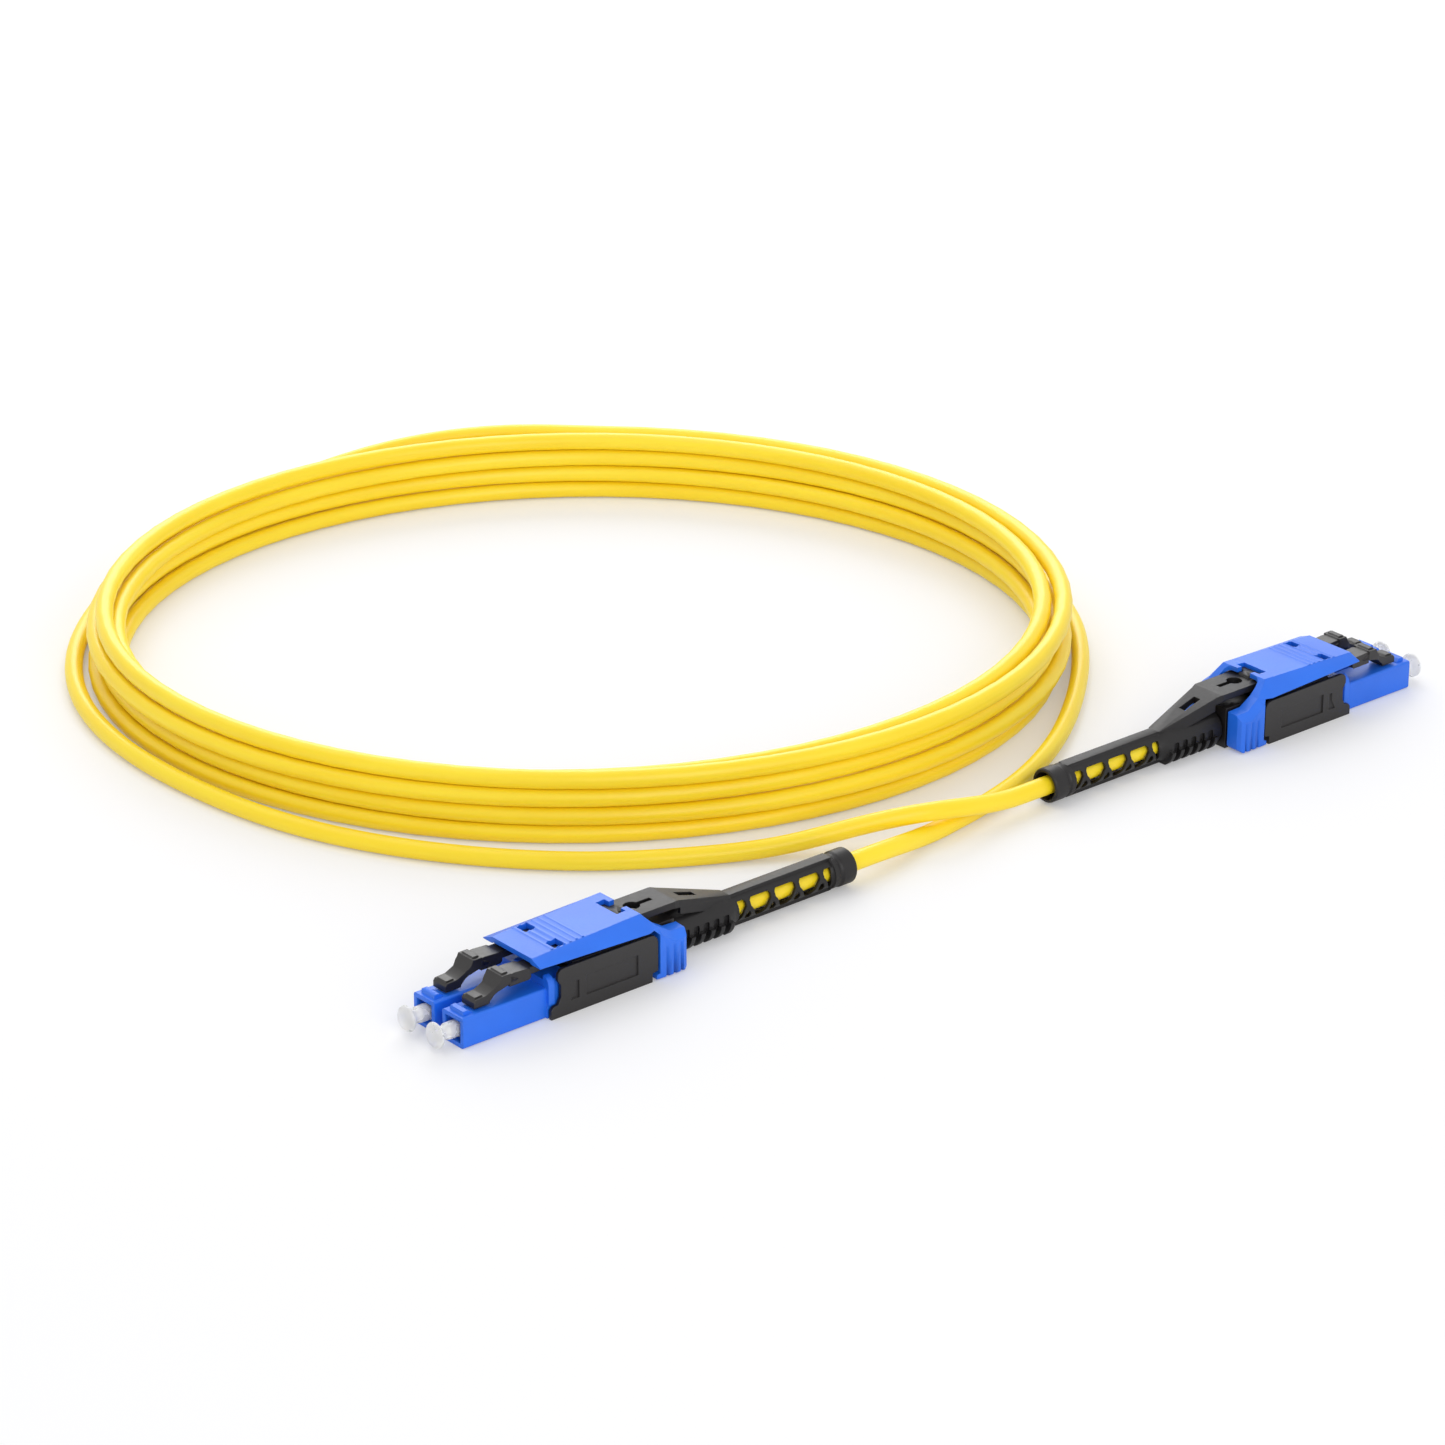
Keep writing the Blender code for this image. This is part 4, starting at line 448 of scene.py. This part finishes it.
def at_connector(points, end):
    """Points given along, left of and above the mouth of a boot, turned and moved to where it lies."""
    x0, y0, yaw = connector_place[end]
    x, y, z = np.moveaxis(points, -1, 0)
    return np.stack([x0 + x * math.cos(yaw) - y * math.sin(yaw),
                     y0 + x * math.sin(yaw) + y * math.cos(yaw), z], axis=-1)


def prisms(name, pairs, end):
    """Closed prisms at a connector, in one mesh: each is a loop of points and the same loop carried across,
    with quads between the two and a face on each."""
    points, faces = [], []
    for near, far in pairs:
        first, count = sum(map(len, points)), len(near)
        j = np.arange(count)
        k = (j + 1) % count
        faces += np.stack([first + j, first + k, first + count + k, first + count + j], axis=1).tolist()
        faces += [(first + j).tolist(), (first + count + j).tolist()]
        points += [at_connector(near, end), at_connector(far, end)]
    item = mesh_item(name, np.concatenate(points), faces)
    seal(item)
    return item


def from_side(side, lefts):
    """A loop for each distance to the left, from a side outline of points (ahead, above)."""
    return [np.stack([side[:, 0], np.full(len(side), left), side[:, 1]], axis=1) for left in lefts]


def latch_trim(end, offset):
    """What is joined to a latch, each a side outline carried across its reach."""
    return prisms(f"latch_trim_{end}",
                  [from_side(side, (offset - reach, offset + reach)) for side, reach in latch_sides], end)


black_pbt = moulded("pbt_black_blasted", "1A1717", "161313", 0.42, 1900.0, 0.00006, 1.54)
for end in "ab":
    pieces = [dressed(f"body_{end}", f"back_body_{end}"), dressed(f"lid_{end}", f"body_lid_{end}"),
              dressed(f"latch_near_{end}", f"latch_left_{end}", trim=latch_trim(end, nose_offset)),
              dressed(f"latch_far_{end}", f"latch_right_{end}", trim=latch_trim(end, -nose_offset))]
    for piece in pieces:
        piece.data.materials.append(black_pbt)


# The boots. Black thermoplastic elastomer, moulded in one with the pull strap and its tongue, and softer
# and duller than the body. The tail is opened to a lattice of thin bars, through which the cord shows, and
# the neck has deep rings with a thin fin beside each, so that both bend with the cord.
boot_axis = 0.0029
tail_rear, tail_front, tail_pitch = 0.004, 0.022, 0.0045

# One flank of an opening, a drop, and the straight edge of a half opening, along the tail from the middle of
# each and above its axis. Half a bar stays at the tail's ends. What cuts them reaches past the tail's sides,
# and what cuts the rings past the neck's skin.
opening_flank = np.array([(1.55, 1.5), (1.9, 1.15), (1.88, 0.5), (1.5, 0.0), (1.3, -0.4), (1.1, -0.9),
                          (0.7, -1.4), (0.35, -1.72)]) / 1000
opening_drop = np.array([(-0.42, -1.5), (0.3, -1.5), (0.6, -1.1), (0.5, -0.6), (0.15, -0.2), (-0.2, -0.3),
                         (-0.55, -0.9)]) / 1000
half_opening_edge = np.array([(0.45, -1.72), (0.45, 1.5)]) / 1000
half_bar = 0.00046
past_tail = 0.003
neck_radius = 0.00288
ring_count, first_ring, ring_pitch = 5, 0.00188, 0.00178
ring_depth, past_neck = 0.0005, 0.0007
ring_arc = np.radians(np.linspace(-193, 13, 22))
fin_width, fin_root, fin_tip = 0.00072, 0.00247, 0.0033
fin_arc = np.radians(np.linspace(-171, -9.3, 40))
table_gap = 0.00005


def boot_fins(end):
    """What is joined to a boot: a thin fin beside each ring of the neck, from one side round below to the
    other, out to the fin's tip or as far as a small gap above the table allows."""
    tip = np.minimum(fin_tip, (boot_axis - table_gap) / np.abs(np.sin(fin_arc)))
    outline = np.concatenate([
        np.stack([tip * np.cos(fin_arc), tip * np.sin(fin_arc)], axis=1),
        fin_root * np.stack([np.cos(fin_arc), np.sin(fin_arc)], axis=1)[::-1]]) + (0, boot_axis)
    rears = tail_front + first_ring - fin_width + ring_pitch * np.arange(ring_count + 1)
    return prisms(f"boot_fins_{end}",
                  [[np.insert(outline, 0, x, axis=1) for x in (rear, rear + fin_width)] for rear in rears],
                  end)


def boot_openings(end):
    """What is cut from a boot: through the tail from side to side, whole openings with half ones at the
    ends and drops between them, and round the lower part of the neck, rings of the ring's depth."""
    stops = np.arange(tail_rear + tail_pitch, tail_front - tail_pitch / 2, tail_pitch)
    whole = np.concatenate([opening_flank, opening_flank[::-1] * (-1, 1)])
    half = np.concatenate([np.maximum(opening_flank, (half_bar, -1)), half_opening_edge])
    sides = [whole + (x, boot_axis) for x in stops]
    sides += [opening_drop + (x, boot_axis) for x in np.append(stops, tail_front) - tail_pitch / 2]
    sides += [half + (tail_rear, boot_axis), half * (-1, 1) + (tail_front, boot_axis)]
    pairs = [from_side(side, (-past_tail, past_tail)) for side in sides]
    turn = np.concatenate([ring_arc, ring_arc[::-1]])
    reach = np.repeat([neck_radius + past_neck, neck_radius - ring_depth], len(ring_arc))
    section = np.stack([reach * np.cos(turn), boot_axis + reach * np.sin(turn)], axis=1)
    for rear in tail_front + first_ring + ring_pitch * np.arange(ring_count):
        pairs.append([np.insert(section, 0, x, axis=1) for x in (rear, rear + ring_pitch - fin_width)])
    return prisms(f"boot_openings_{end}", pairs, end)


black_tpe = moulded("tpe_black_moulded", "151213", "110F10", 0.48, 1300.0, 0.00007, 1.45)
for end in "ab":
    piece = dressed(f"strain_boot_{end}", f"boot_{end}", limit=20,
                    trim=boot_fins(end), openings=boot_openings(end))
    piece.data.materials.append(black_tpe)


# The dust caps. Milky polyethylene, turned here as it is moulded: a domed disc to pinch, a waist, and a
# hollow stem pushed over each ferrule, which shows faintly through it. The profile is given ahead of the
# nose's front and out from the axis.
cap_axis_height = 0.00225
nose_front = 0.0721
cap_profile = np.array([
    (3.60, 0.0), (3.60, 0.35), (3.575, 0.8), (3.50, 1.2), (3.36, 1.55), (3.16, 1.78), (2.95, 1.88),
    (2.74, 1.84), (2.58, 1.66), (2.44, 1.38), (2.32, 1.12), (2.18, 0.95), (2.0, 0.87), (1.82, 0.86),
    (1.62, 0.92), (1.40, 1.05), (1.18, 1.17), (0.95, 1.2), (-1.0, 1.2), (-3.05, 1.2), (-3.25, 1.15),
    (-3.3, 1.05), (-3.3, 0.95), (-3.2, 0.93), (0.6, 0.93), (0.86, 0.85), (0.9, 0.7), (0.9, 0.0)]) / 1000


def rounded_off(profile, rounds=2):
    """The profile with its corners cut a quarter of the way along each side, so many times; its ends stay."""
    for _ in range(rounds):
        a, b = profile[:-1], profile[1:]
        cut = np.stack([0.75 * a + 0.25 * b, 0.25 * a + 0.75 * b], axis=1).reshape(-1, 2)
        profile = np.concatenate([profile[:1], cut, profile[-1:]])
    return profile


def turned_cap(name, profile, end, offset, sides=56):
    """A profile of (distance ahead, radius) carried round the axis of a nose, which lies at that offset to
    the left: x is the distance, y the radius times the cosine and z the radius times the sine."""
    turn = np.linspace(0, math.tau, sides, endpoint=False)
    along = np.broadcast_to(nose_front + profile[:, :1], (len(profile), sides))
    left = offset + profile[:, 1:] * np.cos(turn)
    up = cap_axis_height + profile[:, 1:] * np.sin(turn)
    item = surface(name, at_connector(np.stack([along, left, up], axis=-1), end), closed=True)
    seal(item)
    return item


# Low-density polyethylene, 0.3 to 1 mm thick: cloudy in patches of 2 mm, waxy, half clear, with a soft
# sheen.
milky_pe, tree = bare_material("polyethylene_milky_moulded")
place = add(tree, "ShaderNodeTexCoord")
cloud = add(tree, "ShaderNodeTexNoise", values={"Scale": 420.0, "Detail": 3.0},
            links={"Vector": place.outputs["Object"]})
haze = add(tree, "ShaderNodeMapRange", values={"To Min": 0.2, "To Max": 0.36},
           links={"Value": cloud.outputs[0]})
relief = add(tree, "ShaderNodeBump", values={"Strength": 0.15, "Distance": 0.00005},
             links={"Height": cloud.outputs[0]})
skin = add(tree, "ShaderNodeBsdfPrincipled",
           values={"Base Color": linear("FFFFFF"), "IOR": 1.51, "Transmission Weight": 0.42,
                   "Subsurface Weight": 0.5, "Subsurface Scale": 0.0012,
                   "Subsurface Radius": (1.0, 1.0, 1.0)},
           links={"Roughness": haze.outputs[0], "Normal": relief.outputs[0]})
add(tree, "ShaderNodeOutputMaterial", links={"Surface": skin.outputs[0]})
for end in "ab":
    for side, offset in (("left", nose_offset), ("right", -nose_offset)):
        cap = turned_cap(f"dust_cap_{side}_{end}", rounded_off(cap_profile), end, offset)
        cap.data.materials.append(milky_pe)
        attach(cap, f"cap_{side}_{end}")
        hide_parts(f"cap_{side}_{end}")


# What the noses and the body hold. The fibre ends in a ferrule of ground zirconia, pressed into a metal
# holder that a wire spring pushes forward; behind, the jacket is crimped to the body under a metal ring.
def plain_metal(name, code, rough, streaks):
    """A metal whose roughness wavers along fine marks left by drawing, turning or plating, so many of them
    in a metre."""
    made, tree = bare_material(name)
    place = add(tree, "ShaderNodeTexCoord")
    drawn = add(tree, "ShaderNodeTexNoise", values={"Scale": streaks, "Detail": 2.0},
                links={"Vector": place.outputs["Object"]})
    gloss = add(tree, "ShaderNodeMapRange", values={"To Min": rough - 0.08, "To Max": rough + 0.08},
                links={"Value": drawn.outputs[0]})
    skin = add(tree, "ShaderNodeBsdfPrincipled", values={"Base Color": linear(code), "Metallic": 1.0},
               links={"Roughness": gloss.outputs[0]})
    add(tree, "ShaderNodeOutputMaterial", links={"Surface": skin.outputs[0]})
    return made


# Zirconia is a hard white ceramic with a bright gloss, and the fibre's buffer a soft white PVC. Both get
# the same make-up as the mouldings, with other colours, gloss and grain.
nickel = plain_metal("brass_nickel_plated", "C9C4BA", 0.28, 2400.0)
spring_wire = plain_metal("spring_steel_drawn", "B8B9BC", 0.34, 3600.0)
zirconia = moulded("zirconia_ground", "F4F1EA", "EFEBE2", 0.16, 5200.0, 0.00001, 2.1)
buffer_pvc = moulded("pvc_white_buffer_extruded", "ECEAE3", "E4E1D8", 0.45, 3000.0, 0.00002, 1.53)
inner_finish = (("ferrule_holder_left", nickel), ("ferrule_holder_right", nickel), ("crimp_body", nickel),
                ("crimp_ring", nickel), ("ferrule_left", zirconia), ("ferrule_right", zirconia),
                ("fibre_left", buffer_pvc), ("fibre_right", buffer_pvc), ("spring_retainer", black_pbt))
for end in "ab":
    for node, finish in inner_finish:
        piece = frame["nodes"][f"{node}_{end}"]
        piece.data.materials.clear()
        piece.data.materials.append(finish)

# The springs, in drawn steel wire, each a dressed copy of its node with a mesh of its own.
for end in "ab":
    for side in ("left", "right"):
        coil_spring = dressed(f"coil_spring_{side}_{end}", f"spring_{side}_{end}", limit=60)
        coil_spring.data.materials.append(spring_wire)
        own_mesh(coil_spring)
